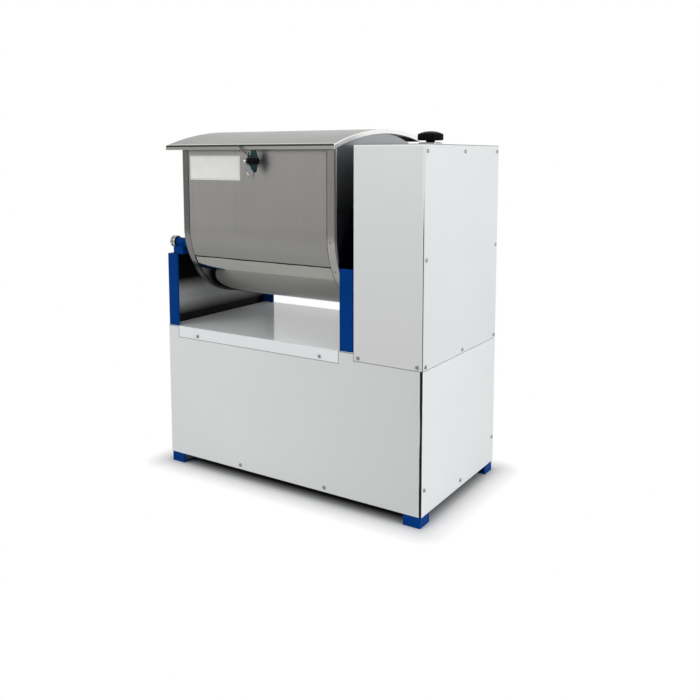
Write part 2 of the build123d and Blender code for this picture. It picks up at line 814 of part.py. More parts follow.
def lock_housing():
    """A block on the left bracket with a sleeve across it for the tilt lock."""
    low = left + lock_knob_width + 3
    pad_front = front + 4
    pad_top = bracket_top + lock_pad
    pad = block((low, low + lock_pad_width), (pad_front, pad_front + lock_pad_depth), (bracket_top, pad_top))
    pad -= block((left + bracket_flange, low + lock_pad_width + 1), (front - 1, rear), (0, bracket_top))
    pad = fillet(pad.edges().filter_by(Axis.Z), 3)
    sleeve_end = tub_left - 7 - low
    sleeve = rod((low, lock_y, lock_z), "X", lock_sleeve_radius, sleeve_end)
    saddle = block((low, low + lock_pad_width), (lock_y - 8, lock_y + 8), (pad_top - 1, lock_z))
    body = pad + sleeve + saddle
    return body - rod((low - 1, lock_y, lock_z), "X", lock_pin_radius + running, sleeve_end + 2)


def lock_boss_ring():
    """The ring on the trough's left end that the lock pin enters."""
    return ring((tub_left, lock_y, lock_z), "X", 13, lock_pin_radius + 0.4, -lock_boss)


def lock_pin():
    tip = tub_left - lock_boss - lock_tip_gap
    start = left + 6
    pin = rod((start, lock_y, lock_z), "X", lock_pin_radius, tip - start)
    return chamfer(pin.edges().sort_by(Axis.X)[-1], 1.5)


def lock_knob():
    """The pull knob: a turned disc with a waist and a bright ball in its face."""
    start = left + 1
    knob = rod((start, lock_y, lock_z), "X", lock_knob_radius, lock_knob_width)
    knob = fillet(knob.edges().filter_by(GeomType.CIRCLE), 2)
    groove = ring((start + 5, lock_y, lock_z), "X", lock_knob_radius + 1, lock_knob_radius - 2.5, 4)
    knob -= groove
    return knob - rod((left + 6, lock_y, lock_z), "X", lock_pin_radius, lock_knob_width + 1)


def mixing_shaft():
    """The shaft through the trough, the column wall and the big gear."""
    return rod((shaft_left, axis_y, axis_z), "X", shaft_radius, shaft_right - shaft_left)


def arm_half():
    """One half of a mixing arm: a bar that twists from root to tip."""
    root = Pos(0, 0, shaft_radius * 0.5) * Rectangle(*arm_root)
    tip = Pos(0, 0, arm_reach + 8) * Rot(0, 0, arm_twist) * Rectangle(*arm_tip)
    blade = loft([root, tip])
    return blade & Rot(0, 90, 0) * Cylinder(arm_reach, width)


def mixing_arms():
    """Double-ended arms set round the shaft in equal steps."""
    half = arm_half()
    inner_length = tub_right - tub_left - 2 * tub_wall
    bore = Rot(0, 90, 0) * Cylinder(shaft_radius + running / 2, width)
    arms = []
    for number in range(arm_count):
        x = tub_left + tub_wall + inner_length * (number + 0.5) / arm_count
        for flip in (0, 180):
            turn = Rot(arm_step * number + flip, 0, 0)
            arms.append(Pos(x, axis_y, axis_z) * (turn * half - bore))
    return group(*arms)


def gear_outline(teeth, phase):
    """An involute gear outline, with its first tooth at the phase angle in degrees."""
    pitch = gear_module * teeth / 2
    base = pitch * cos(radians(pressure_angle))
    root = pitch - 1.25 * gear_module
    tip = pitch + gear_module
    spread = tan(radians(pressure_angle)) - radians(pressure_angle)
    half = pi / (2 * teeth) - gear_backlash / (4 * pitch) + spread
    radii = sorted({root, max(root, base), pitch, tip})
    flank = []
    for radius in radii:
        slope = acos(min(1.0, base / max(radius, base)))
        flank.append((radius, half - (tan(slope) - slope)))
    points = []
    for tooth in range(teeth):
        middle = radians(phase) + 2 * pi * tooth / teeth
        sides = [(radius, middle - turn) for radius, turn in flank]
        sides += [(radius, middle + turn) for radius, turn in reversed(flank)]
        points += [(radius * cos(angle), radius * sin(angle)) for radius, angle in sides]
    return make_face(Polyline(*points, close=True))


def main_gear():
    """The big spur gear, turned thin between hub and rim, with round windows."""
    blank = extrude(Plane.YZ * gear_outline(gear_teeth, 90 + 180 / gear_teeth), gear_face)
    rim = gear_radius - 1.25 * gear_module - gear_rim
    recess = (gear_face - gear_web) / 2
    for x in (0, gear_face - recess):
        blank -= ring((x, 0, 0), "X", rim, gear_hub_radius, recess)
    middle = (rim + gear_hub_radius) / 2
    for number in range(gear_windows):
        turn = 2 * pi * number / gear_windows
        blank -= rod((0, middle * cos(turn), middle * sin(turn)), "X", gear_window_radius, gear_face)
    blank -= rod((-1, 0, 0), "X", shaft_radius + running, gear_face + 2)
    return Pos(gear_left, axis_y, axis_z) * blank


def pinion():
    blank = extrude(Plane.YZ * gear_outline(pinion_teeth, 90), gear_face)
    blank -= rod((-1, 0, 0), "X", countershaft_radius + running, gear_face + 2)
    return Pos(gear_left, axis_y, counter_z) * blank


def bearing_plates():
    """Two upright plates that carry the gear shafts, narrowed to a round top."""
    half = plate_width / 2
    top = axis_z - shelf_top
    round_end = plate_top_radius
    foot = [(-half, plate_foot), (-half, 0), (half, 0), (half, plate_foot)]
    outline = Polyline((-round_end, top), *foot, (round_end, top))
    outline += ThreePointArc((round_end, top), (0, top + round_end), (-round_end, top))
    plates = []
    for x in (plate_1, plate_2):
        plate = Pos(x, axis_y, shelf_top) * extrude(Plane.YZ * make_face(outline), plate_thick)
        for z, radius in ((axis_z, shaft_radius), (counter_z, countershaft_radius)):
            plate -= rod((x - 1, axis_y, z), "X", radius + bearing_wall + running, plate_thick + 2)
        plates.append(plate)
    return group(*plates)


def drive_bearings():
    """Ball bearings of the two gear shafts, as plain rings."""
    rings = []
    for x in (plate_1, plate_2):
        start = x + plate_thick / 2 - bearing_width / 2
        for z, radius in ((axis_z, shaft_radius), (counter_z, countershaft_radius)):
            outer = radius + bearing_wall
            rings.append(ring((start, axis_y, z), "X", outer, radius + running, bearing_width))
    return group(*rings)


def plate_spacers():
    """Stay bars that tie the two bearing plates at their feet."""
    span = plate_2 - plate_1 - plate_thick
    start = plate_1 + plate_thick
    return group(*[rod((start, axis_y + y, shelf_top + 25), "X", 9, span) for y in (-55, 55)])


def countershaft():
    end = pulley_left + pulley_width + 6
    return rod((plate_1 - 4, axis_y, counter_z), "X", countershaft_radius, end - plate_1 + 4)


def pulley(radius, bore, height, spokes):
    """A grooved pulley, with round windows if it is large."""
    half = pulley_width / 2
    floor = radius - groove_depth
    profile = Polyline(
        (bore, -half), (radius, -half), (radius, -groove_mouth / 2), (floor, -groove_floor / 2),
        (floor, groove_floor / 2), (radius, groove_mouth / 2), (radius, half), (bore, half), close=True,
    )
    wheel = revolve(make_face(profile), Axis.Y)
    wheel = Rot(0, 0, -90) * wheel
    if spokes:
        rim = radius - groove_depth - 10
        for x in (-half, half - 7):
            wheel -= ring((x, 0, 0), "X", rim, 30, 7)
        for number in range(spokes):
            turn = 2 * pi * number / spokes
            middle = (rim + 30) / 2
            wheel -= rod((-half, middle * cos(turn), middle * sin(turn)), "X", 24, pulley_width)
    return Pos(pulley_left + half, axis_y, height) * wheel


def drive_belt():
    """The V-belt round both pulleys, just clear of their grooves."""
    rise = counter_z - motor_height

    def loop(inset):
        small = Circle(motor_pulley_radius - inset)
        big = Pos(0, rise) * Circle(driven_pulley_radius - inset)
        return make_hull((small + big).edges())

    floor_inset = groove_depth - belt_clear
    outer_inset = floor_inset - belt_height
    band = extrude(Plane.YZ * loop(outer_inset), groove_floor / 2, both=True)
    band -= extrude(Plane.YZ * loop(floor_inset), groove_floor, both=True)
    return Pos(pulley_left + pulley_width / 2, axis_y, motor_height) * band


def motor():
    """A foot-mounted finned motor with a fan cowl and terminal box."""
    core = rod((motor_left, axis_y, motor_height), "X", motor_radius - motor_fin, motor_length)
    core += rod((motor_left, axis_y, motor_height), "X", motor_radius, motor_flange)
    core += rod((motor_left + motor_length, axis_y, motor_height), "X", motor_radius, -motor_cowl)
    fin_span = (motor_left + motor_flange + motor_fin, motor_left + motor_length - motor_cowl - motor_fin)
    for number in range(motor_fins):
        fin = block(fin_span, (-motor_fin_thick / 2, motor_fin_thick / 2), (0, motor_radius))
        core += Pos(0, axis_y, motor_height) * Rot(360 * (number + 0.5) / motor_fins, 0, 0) * fin
    crown = motor_height + motor_radius
    box_half = motor_box / 2
    core += block(
        (motor_middle - box_half, motor_middle + box_half),
        (axis_y - motor_box_width / 2, axis_y + motor_box_width / 2),
        (crown - motor_foot_height, crown + motor_box_height),
    )
    foot_span = (motor_middle - motor_foot / 2, motor_middle + motor_foot / 2)
    inner = motor_foot_reach - motor_foot_width
    for way in (-1, 1):
        foot = sorted((axis_y + way * inner, axis_y + way * motor_foot_reach))
        stem = sorted((axis_y + way * inner, axis_y + way * (inner + motor_foot_height)))
        core += block(foot_span, foot, (mount_top, mount_top + motor_foot_height))
        core += block(foot_span, stem, (mount_top, motor_height - motor_radius / 2))
    return core - rod((shaft_start, axis_y, motor_height), "X", motor_shaft_radius + running, motor_length)


def motor_mount():
    """The plate across the lower rails that the motor is bolted to."""
    span = (motor_middle - mount_length / 2, motor_middle + mount_length / 2)
    return block(span, (front + sheet, rear - sheet), (mount_top - mount_thick, mount_top))


def motor_shaft():
    start = shaft_start + gap
    end = pulley_left + pulley_width + shaft_end
    return rod((start, axis_y, motor_height), "X", motor_shaft_radius, end - start)


def switch_plate():
    half = switch_plate_size / 2
    plate_top = column_top + switch_plate_height
    plate = block((switch_x - half, switch_x + half), (-half, half), (column_top, plate_top))
    plate = fillet(plate.edges().filter_by(Axis.Z), 4)
    plate = chamfer(plate.edges().group_by(Axis.Z)[-1], 1)
    return plate - rod((switch_x, 0, column_top - 1), "Z", switch_stem_radius + gap, switch_plate_height + 2)


def switch_body():
    """The switch's contact block, hung under the column's top."""
    top = column_top - sheet
    body = block((switch_x - 24, switch_x + 24), (-24, 24), (top - switch_depth, top))
    return body - rod((switch_x, 0, top + 1), "Z", switch_stem_radius + gap, -21)


def switch_knob():
    """A round knob with a domed grip and finger scallops."""
    low = column_top + switch_plate_height + switch_lift
    disc = rod((0, 0, low), "Z", switch_knob_radius, switch_knob_base)
    for number in range(12):
        turn = 2 * pi * number / 12
        reach = switch_knob_radius + 3.4
        disc -= rod((reach * cos(turn), reach * sin(turn), low - 1), "Z", 5, switch_knob_base + 2)
    rise = switch_knob_height - switch_knob_base
    foot = switch_knob_radius - 6
    ball = (foot**2 + rise**2) / (2 * rise)
    dome = Pos(0, 0, low + switch_knob_height - ball) * Sphere(ball)
    dome &= rod((0, 0, low + switch_knob_base - 1), "Z", foot, rise + 2)
    grip = disc + dome
    hub = rod((0, 0, low - switch_lift + gap), "Z", switch_stem_radius + 3, switch_lift)
    stem = rod((0, 0, column_top - sheet - 18), "Z", switch_stem_radius, low - column_top + sheet + 20)
    return Pos(switch_x, 0, 0) * (grip + hub + stem)


def cable_gland():
    """The cable entry at the back: flange, hexagon and domed cap, with a clear bore."""
    x = left + 90
    neck = gland_radius * 0.7 - gap
    body = rod((x, rear, gland_height), "Y", gland_radius, 4)
    body += extrude(Pos(x, rear + 4, gland_height) * Rot(-90, 0, 0) * RegularPolygon(gland_radius, 6), 9)
    cap = rod((x, rear + 13, gland_height), "Y", gland_radius - 2, gland_reach - 13)
    body += fillet(cap.edges().sort_by(Axis.Y)[-1], 4)
    body += rod((x, rear, gland_height), "Y", neck, -12)
    body += ring((x, rear - sheet, gland_height), "Y", gland_radius, neck - 1, -5)
    return body - rod((x, rear - 13, gland_height), "Y", gland_bore, gland_reach + 14)


motor_left = pulley_left - motor_length - motor_overhang
motor_middle = motor_left + motor_length / 2
shaft_start = motor_left + motor_cowl
mount_top = foot_height + rail_raise + angle_size + mount_thick
base_screws = base_front_screws + base_rear_screws + base_right_screws + base_left_screws + lip_screws
column_screws = column_front_screws + column_rear_screws + column_side_screws
all_screws = base_screws + column_screws


def screws(places):
    return group(*[screw(*place) for place in places])


wing_grip, latch_screw = latch_knob()
nodes = {
    "corner_legs": corner_legs(),
    "base_rails": base_rails(),
    "column_posts": column_posts(),
    "drive_shelf": drive_shelf(),
    "front_panel": front_panel(),
    "left_panel": base_side(left, 1, frame_top),
    "right_panel": base_side(right, -1, column_base - panel_seam * 1.5),
    "rear_panel": rear_panel(),
    "deck_plate": deck_plate(),
    "column_front_panel": column_front(),
    "column_side_panel": column_side(),
    "column_inner_panel": column_inner(),
    "column_rear_panel": column_rear(),
    "column_top_cover": column_cover(),
    "left_bracket": bracket(left, 1, False),
    "right_bracket": bracket(column_left, -1, True),
    "bracket_liners": bracket_liners(),
    "bearing_housings": group(bearing_housing(left_web, 1), bearing_housing(right_web, -1)),
    "trunnion_bushes": group(trunnion_bush(left_web, 1), trunnion_bush(right_web, -1)),
    "bearing_bolts": bearing_bolts(),
    "lock_housing": lock_housing(),
    "lock_pin": lock_pin(),
    "lock_knob": lock_knob(),
    "tub_shell": tub_shell(),
    "tub_front_sheet": tub_front_sheet(),
    "tub_end_left": tub_end_left(),
    "tub_end_right": tub_end_right(),
    "trunnions": trunnions(),
    "trunnion_bolts": trunnion_bolt_set(),
    "rim_rivets": rim_rivets(),
    "lock_boss": lock_boss_ring(),
    "tub_hinge_straps": tub_hinges(),
    "hinge_pins": hinge_pins(),
    "latch_bracket": latch_bracket(),
    "latch_bolts": latch_bolts(),
    "latch_screw": latch_screw,
    "latch_wing_knob": wing_grip,
    "latch_hook": latch_hook(),
    "lid": lid(),
    "lid_hinge_leaves": lid_hinges(),
    "mixing_shaft": mixing_shaft(),
    "mixing_arms": mixing_arms(),
    "main_gear": main_gear(),
    "pinion": pinion(),
    "countershaft": countershaft(),
    "driven_pulley": pulley(driven_pulley_radius, countershaft_radius + running, counter_z, 6),
    "bearing_plates": bearing_plates(),
    "drive_bearings": drive_bearings(),
    "plate_spacers": plate_spacers(),
    "drive_belt": drive_belt(),
    "motor": motor(),
    "motor_mount": motor_mount(),
    "motor_shaft": motor_shaft(),
    "motor_pulley": pulley(motor_pulley_radius, motor_shaft_radius + running, motor_height, 0),
    "switch_plate": switch_plate(),
    "switch_body": switch_body(),
    "switch_knob": switch_knob(),
    "cable_gland": cable_gland(),
    "base_screws": screws(base_screws),
    "column_screws": screws(column_screws),
}

os.makedirs("parts", exist_ok=True)
for name, part in nodes.items():
    export_step(part, f"parts/{name}.step")
print(len(nodes), "nodes written")
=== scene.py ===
from math import atan2, cos, pi, radians, sin

import bmesh
import bpy
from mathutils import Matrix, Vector


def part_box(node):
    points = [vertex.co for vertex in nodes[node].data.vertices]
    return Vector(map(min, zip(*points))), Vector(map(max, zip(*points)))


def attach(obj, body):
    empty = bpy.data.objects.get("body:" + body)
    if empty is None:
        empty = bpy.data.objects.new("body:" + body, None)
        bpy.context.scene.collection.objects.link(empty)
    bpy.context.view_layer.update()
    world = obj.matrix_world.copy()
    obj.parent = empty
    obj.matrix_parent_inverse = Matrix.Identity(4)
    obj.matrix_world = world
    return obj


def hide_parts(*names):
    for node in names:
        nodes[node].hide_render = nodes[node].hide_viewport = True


# %% [markdown]
# # A dough mixer from its CAD frame
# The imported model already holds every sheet, shaft and gear at its real size, in metres.
# This lesson gives those solids the finish of the real machine: powder-coated sheet, blue enamel,
# brushed stainless, zinc screws. Small parts that a CAD solid leaves plain are modelled again here.

# %% Load the frame
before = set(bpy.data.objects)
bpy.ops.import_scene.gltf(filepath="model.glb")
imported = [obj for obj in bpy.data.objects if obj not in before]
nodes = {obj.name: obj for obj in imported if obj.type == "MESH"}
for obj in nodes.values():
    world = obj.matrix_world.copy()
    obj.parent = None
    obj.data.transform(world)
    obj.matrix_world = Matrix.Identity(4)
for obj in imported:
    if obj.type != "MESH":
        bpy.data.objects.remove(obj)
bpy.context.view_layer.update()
half_width, half_depth = 0.35, 0.187    # from the middle of the base to its panels
shaft_y, shaft_z = -0.019, 0.588        # the mixing shaft, which runs along X


# %% [markdown]
# ## The camera
# The photograph was taken from the machine's front right, a little above its middle. A camera fitted to
# edges of known length gives the place below. The principal point lies above the picture's middle, and the
# lens shift stands for that.

# %% Camera
picture_pixels = 700
focal_pixels = 792.0
raised_pixels = -105
camera_data = bpy.data.cameras.new("camera")
camera_data.sensor_width = 36.0
camera_data.lens = focal_pixels / picture_pixels * camera_data.sensor_width
camera_data.shift_y = raised_pixels / picture_pixels
camera_data.clip_end = 100.0
camera = bpy.data.objects.new("camera", camera_data)
camera.location = (1.0565, -1.5556, 0.7525)
camera.rotation_euler = (radians(90 - 6.35), 0.0, radians(32.66))
bpy.context.scene.collection.objects.link(camera)
bpy.context.scene.camera = camera
bpy.context.scene.view_settings.view_transform = "Standard"
print("camera lens:", round(camera_data.lens, 2), "mm")


# %% [markdown]
# ## Node helpers
# Every finish below is a short chain of shader nodes, and a few helpers keep those chains readable. They add a
# node, make noise from Object coordinates, turn noise into numbers, mix two colours and make a bump. Object
# coordinates are metres of the machine itself, so a pattern stays on its sheet when the trough tilts.

# %% Helpers for shader nodes
def add(tree, kind, **values):
    """Adds a node and sets its sockets or its own settings by name."""
    node = tree.nodes.new("ShaderNode" + kind)
    for name, value in values.items():
        if name in node.inputs:
            node.inputs[name].default_value = value
        else:
            setattr(node, name, value)
    return node


def noise(tree, scale, stretch=(1, 1, 1), detail=3.0):
    """Noise on Object coordinates; stretch squeezes it into streaks."""
    place = add(tree, "TexCoord")
    mapping = add(tree, "Mapping", Scale=stretch)
    texture = add(tree, "TexNoise", Scale=scale, Detail=detail)
    tree.links.new(place.outputs["Object"], mapping.inputs["Vector"])
    tree.links.new(mapping.outputs["Vector"], texture.inputs["Vector"])
    return texture.outputs["Fac"]


def span(tree, value, low, high, start=0.3, end=0.7):
    """Maps the numbers from start to end onto the range from low to high."""
    node = tree.nodes.new("ShaderNodeMapRange")
    tree.links.new(value, node.inputs["Value"])
    for name, number in (("From Min", start), ("From Max", end), ("To Min", low), ("To Max", high)):
        node.inputs[name].default_value = number
    return node.outputs["Result"]


def mix(tree, factor, first, second):
    """Mixes two colours, and each is a socket or a tuple."""
    node = tree.nodes.new("ShaderNodeMix")
    node.data_type = "RGBA"
    tree.links.new(factor, node.inputs["Factor"])
    for name, colour in (("A", first), ("B", second)):
        socket = [item for item in node.inputs if item.name == name and item.type == "RGBA"][0]
        if isinstance(colour, tuple):
            socket.default_value = (*colour, 1.0)
        else:
            tree.links.new(colour, socket)
    return [item for item in node.outputs if item.type == "RGBA"][0]


def bump(tree, height, strength, distance, normal=None):
    """Turns a height into a surface normal."""
    node = add(tree, "Bump", Strength=strength, Distance=distance)
    tree.links.new(height, node.inputs["Height"])
    if normal is not None:
        tree.links.new(normal, node.inputs["Normal"])
    return node.outputs["Normal"]


def combine(tree, operation, first, second):
    """Joins two values by one Math operation; second may be a number."""
    node = add(tree, "Math", operation=operation)
    tree.links.new(first, node.inputs[0])
    if isinstance(second, (int, float)):
        node.inputs[1].default_value = second
    else:
        tree.links.new(second, node.inputs[1])
    return node.outputs[0]


def new_material(name, **constants):
    """An empty material with a Principled shader and its constant sockets."""
    material = bpy.data.materials.new(name)
    material.use_nodes = True
    tree = material.node_tree
    shader = tree.nodes["Principled BSDF"]
    for socket, value in constants.items():
        shader.inputs[socket.replace("_", " ")].default_value = value
    return material, tree, shader


def drifting(tree, shader, scale, first, second, rough_scale, rough_low, rough_high):
    """A colour and a roughness that drift a little over the piece."""
    colour = mix(tree, span(tree, noise(tree, scale), 0.0, 1.0), first, second)
    tree.links.new(colour, shader.inputs["Base Color"])
    tree.links.new(span(tree, noise(tree, rough_scale), rough_low, rough_high), shader.inputs["Roughness"])


finish_of = {}


def wear(material, on):
    """Gives a material to the CAD nodes named in on."""
    for name in on:
        mesh = nodes[name].data
        mesh.materials.clear()
        mesh.materials.append(material)
        finish_of[name] = material.name


print("helpers:", [helper.__name__ for helper in (add, noise, span, mix, bump, combine, wear)])


# %% [markdown]
# ## Masks
# Much of a machine's look sits at a known place: an open joint, the bend of a sheet, a greasy bearing side. A
# mask is a value that is 1 there and 0 elsewhere. One Object coordinate or the direction of a face is enough
# to make it, and no picture is painted. A finish then lays another colour over its base through each mask.

# %% Helpers for masks
def where(tree, axis, kind="Object"):
    """One Object coordinate in metres, or with kind="Normal" how far a face looks along the axis."""
    place = add(tree, "TexCoord")
    split = add(tree, "SeparateXYZ")
    tree.links.new(place.outputs[kind], split.inputs[0])
    return split.outputs[axis]


def looks(tree, axis, low, high, start, end):
    """Maps how far a face looks along an axis, from -1 to 1, onto the range from low to high."""
    return span(tree, where(tree, axis, "Normal"), low, high, start, end)


def size_of(tree, value, shift=0.0):
    """The distance of a value from -shift, without its sign."""
    plain = add(tree, "Math", operation="ABSOLUTE")
    tree.links.new(combine(tree, "ADD", value, shift), plain.inputs[0])
    return plain.outputs[0]


def both(tree, first, second):
    """Multiplies two masks."""
    return combine(tree, "MULTIPLY", first, second)


def stripe(tree, axis, low, high, soft=0.0002):
    """1 between two places along an axis, 0 elsewhere."""
    rise = span(tree, where(tree, axis), 0.0, 1.0, low - soft, low + soft)
    fall = span(tree, where(tree, axis), 1.0, 0.0, high - soft, high + soft)
    return both(tree, rise, fall)


def ramp(axis, low, high, start, end):
    """A mask that grows or fades between two places along an axis."""
    return lambda tree: span(tree, where(tree, axis), low, high, start, end)


def band(axis, low, high):
    """A mask between two places along an axis."""
    return lambda tree: stripe(tree, axis, low, high)


def front_band(low, high):
    """A mask between two places along X, on faces that look forwards."""
    return lambda tree: both(tree, stripe(tree, "X", low, high), looks(tree, "Y", 1.0, 0.0, -0.3, -0.1))


def tinted(tree, base, tints):
    """Lays further colours over a base, each where its mask is 1."""
    for mask, colour in tints:
        base = mix(tree, mask(tree), base, colour(tree) if callable(colour) else colour)
    return base


def edge_mask(tree, radius):
    """How far a rounded edge's normal leaves the face's own: 0 on flats, up to 1 along edges."""
    bevel = add(tree, "Bevel", Radius=radius)
    bevel.samples = 4
    geometry = add(tree, "NewGeometry")
    dot = add(tree, "VectorMath", operation="DOT_PRODUCT")
    tree.links.new(bevel.outputs["Normal"], dot.inputs[0])
    tree.links.new(geometry.outputs["True Normal"], dot.inputs[1])
    return span(tree, dot.outputs["Value"], 1.0, 0.0, 0.7, 0.98), bevel.outputs["Normal"]


print("mask helpers:", [helper.__name__ for helper in (where, looks, stripe, ramp, band, front_band)])


# %% [markdown]
# ## Paint
# The white panels are powder coat: nearly even, with a very fine orange-peel skin and a soft gloss. The
# colour drifts by about one percent over a panel. The blue enamel on the angle iron is thicker and darker,
# and it is thin on every edge, where a lighter line shows.

# %% The paint recipe
edge_radius = 0.0012
peel_scale, peel_height = 420.0, 0.0004


def painted(name, light, dark, rough, edge=None, peel=0.10, gloss=0.5, tints=()):
    """A coat of paint: two shades, worn edges in the colour edge, tints by mask and an orange-peel skin."""
    material, tree, shader = new_material(name, Specular_IOR_Level=gloss)
    base = mix(tree, span(tree, noise(tree, 3.0, detail=4.0), 0.0, 1.0), dark, light)
    mask, rounded = edge_mask(tree, edge_radius)
    if edge is not None:
        scuff = both(tree, mask, span(tree, noise(tree, 60.0), 0.35, 1.0))
        base = mix(tree, scuff, base, edge)
    tree.links.new(tinted(tree, base, tints), shader.inputs["Base Color"])
    tree.links.new(span(tree, noise(tree, 9.0), rough - 0.04, rough + 0.04), shader.inputs["Roughness"])
    skin = bump(tree, noise(tree, peel_scale, detail=1.0), peel, peel_height, rounded)
    tree.links.new(skin, shader.inputs["Normal"])
    return material


motor_paint = painted("motor_enamel", (0.070, 0.105, 0.125), (0.055, 0.085, 0.100), 0.45,
                      edge=(0.15, 0.20, 0.22))
print("first paint:", motor_paint.name)


# %% [markdown]
# ## Marks on the painted sheets
# The base's front sheet meets its side sheet in an open joint, which shows as a black line that wavers. The
# same joint opens on the column only in its lower half. The deck's front lip ends short of both brackets and
# throws a thin shadow. The lining behind the left bracket is painted near black as shade, and a dull grey band
# on it is a painted reflection.

# %% Masks on the painted sheets
def front_gap(tree):
    """The open joint between a front sheet and its side sheet, a little wider in the middle."""
    wave = span(tree, noise(tree, 7.0, (0, 0, 1), detail=1.0), 0.0, 0.0018, 0.35, 0.65)
    return span(tree, combine(tree, "ADD", where(tree, "X"), wave), 0.0, 1.0, 0.3452, 0.3456)


def flange_gap(tree):
    """The narrow side of a front sheet, which looks along X and lies in the joint."""
    return both(tree, looks(tree, "X", 0.0, 1.0, 0.5, 0.7), ramp("X", 0.0, 1.0, 0.3480, 0.3484)(tree))


def low_flange_gap(tree):
    """On the column the joint opens only in its lower half."""
    return both(tree, flange_gap(tree), ramp("Z", 1.0, 0.0, 0.60, 0.68)(tree))


def lip_outline(tree):
    """Thin shadow lines round the deck's front lip, which ends short of both brackets."""
    sides = combine(tree, "MAXIMUM", stripe(tree, "X", 0.1498, 0.1512), stripe(tree, "X", -0.3142, -0.3130))
    whole = combine(tree, "MAXIMUM", sides, stripe(tree, "Z", 0.3168, 0.3180))
    return both(tree, whole, looks(tree, "Y", 1.0, 0.0, -0.8, -0.6))


def painted_reflection_band(tree):
    """A painted reflection: a dull grey band across the black lining."""
    return span(tree, size_of(tree, where(tree, "Z"), -0.408), 1.0, 0.0, 0.012, 0.045)


def painted_shade_cover_edge(tree):
    """Painted shade: the column cover's thin side faces, painted dark grey."""
    return span(tree, size_of(tree, where(tree, "Z", "Normal")), 1.0, 0.0, 0.3, 0.6)


# painted highlight: a near-white strip along the folded front edge of the base's side sheet
painted_highlight_lip = band("Y", -0.1846, -0.1818)             # the folded front edge of the base's side sheet
# painted shade: the base's front sheet is painted greyer towards its right end
painted_shade_towards_column = ramp("X", 0.0, 1.0, -0.15, 0.34)    # the base's front greys towards its right end
# painted shade: the column's front sheet is painted greyer downwards
painted_shade_towards_base = ramp("Z", 1.0, 0.0, 0.36, 0.76)       # the column's front greys downwards
painted_highlight_top_bend = band("Z", 0.7735, 0.7762)                 # painted highlight along the bend at the column's top
print("masks on paint:", [mask.__name__ for mask in (front_gap, flange_gap, lip_outline, painted_reflection_band, painted_shade_cover_edge)])

# %% Paints of this machine
joint_dark = (0.004, 0.004, 0.004)
white_edge = (0.90, 0.91, 0.91)
powder = ((0.775, 0.79, 0.79), (0.745, 0.76, 0.765), 0.42)
dull_powder = ((0.805, 0.825, 0.82), (0.775, 0.795, 0.795), 0.42)
white_paint = painted("white_powder_coat", *powder, edge=white_edge, peel=0.06)
cover_white = painted("white_coat_cover", *powder, edge=white_edge, peel=0.06,
                      tints=[(painted_shade_cover_edge, (0.20, 0.20, 0.205))])
column_white = painted(
    "white_coat_with_side_joint", *dull_powder, edge=white_edge, peel=0.06, gloss=0.2,
    tints=[(painted_shade_towards_base, (0.70, 0.705, 0.70)), (painted_highlight_top_bend, (0.95, 0.95, 0.95)), (low_flange_gap, joint_dark)],
)
front_white = painted(
    "white_coat_with_open_joint", *dull_powder, edge=white_edge, peel=0.06, gloss=0.2,
    tints=[(painted_shade_towards_column, (0.68, 0.695, 0.69)), (front_gap, joint_dark), (flange_gap, joint_dark)],
)
# painted light: the base's side sheet gets a lighter copy of the white, for the stronger light on that side
side_white_painted_lighter = painted("white_coat_base_side_painted_lighter", (0.835, 0.845, 0.85), (0.80, 0.81, 0.82), 0.42,
                     edge=(0.95, 0.95, 0.95), peel=0.06, tints=[(painted_highlight_lip, (0.97, 0.97, 0.97))])
deck_white = painted("white_gloss_deck", (0.88, 0.895, 0.905), (0.85, 0.87, 0.88), 0.10, edge=white_edge,
                     peel=0.02, gloss=0.35, tints=[(lip_outline, (0.14, 0.14, 0.145))])
blue_paint = painted("blue_enamel", (0.0, 0.048, 0.245), (0.0, 0.035, 0.195), 0.36,
                     edge=(0.01, 0.15, 0.45), gloss=0.03)
# painted shade: the lining is near black where the bracket's inner side lies in shade
black_lining_painted_shade = painted("lining_painted_shade_black", (0.006, 0.006, 0.006), (0.003, 0.003, 0.003), 0.20, peel=0.03,
                      gloss=0.06, tints=[(painted_reflection_band, (0.44, 0.445, 0.45))])

wear(white_paint, on=[
    "left_panel", "rear_panel", "column_side_panel", "column_inner_panel", "column_rear_panel",
])
wear(cover_white, on=["column_top_cover"])
wear(front_white, on=["front_panel"])
wear(column_white, on=["column_front_panel"])
wear(side_white_painted_lighter, on=["right_panel"])
wear(deck_white, on=["deck_plate"])
wear(blue_paint, on=[
    "corner_legs", "base_rails", "column_posts", "drive_shelf", "left_bracket", "right_bracket",
    "lock_housing", "bearing_plates", "motor_mount",
])
wear(black_lining_painted_shade, on=["bracket_liners"])
wear(motor_paint, on=["motor"])
print("painted nodes:", len(finish_of))


# %% [markdown]
# ## Metal
# Rolled stainless has a grain: fine scratches that all run one way, along the sheet. Noise that is squeezed
# hard across one axis makes them. The streaks change the roughness a little and tilt the surface a hair, so
# highlights stretch across the grain, and the colour hardly moves.

# %% The metal recipe
scoured_roughness = 0.22


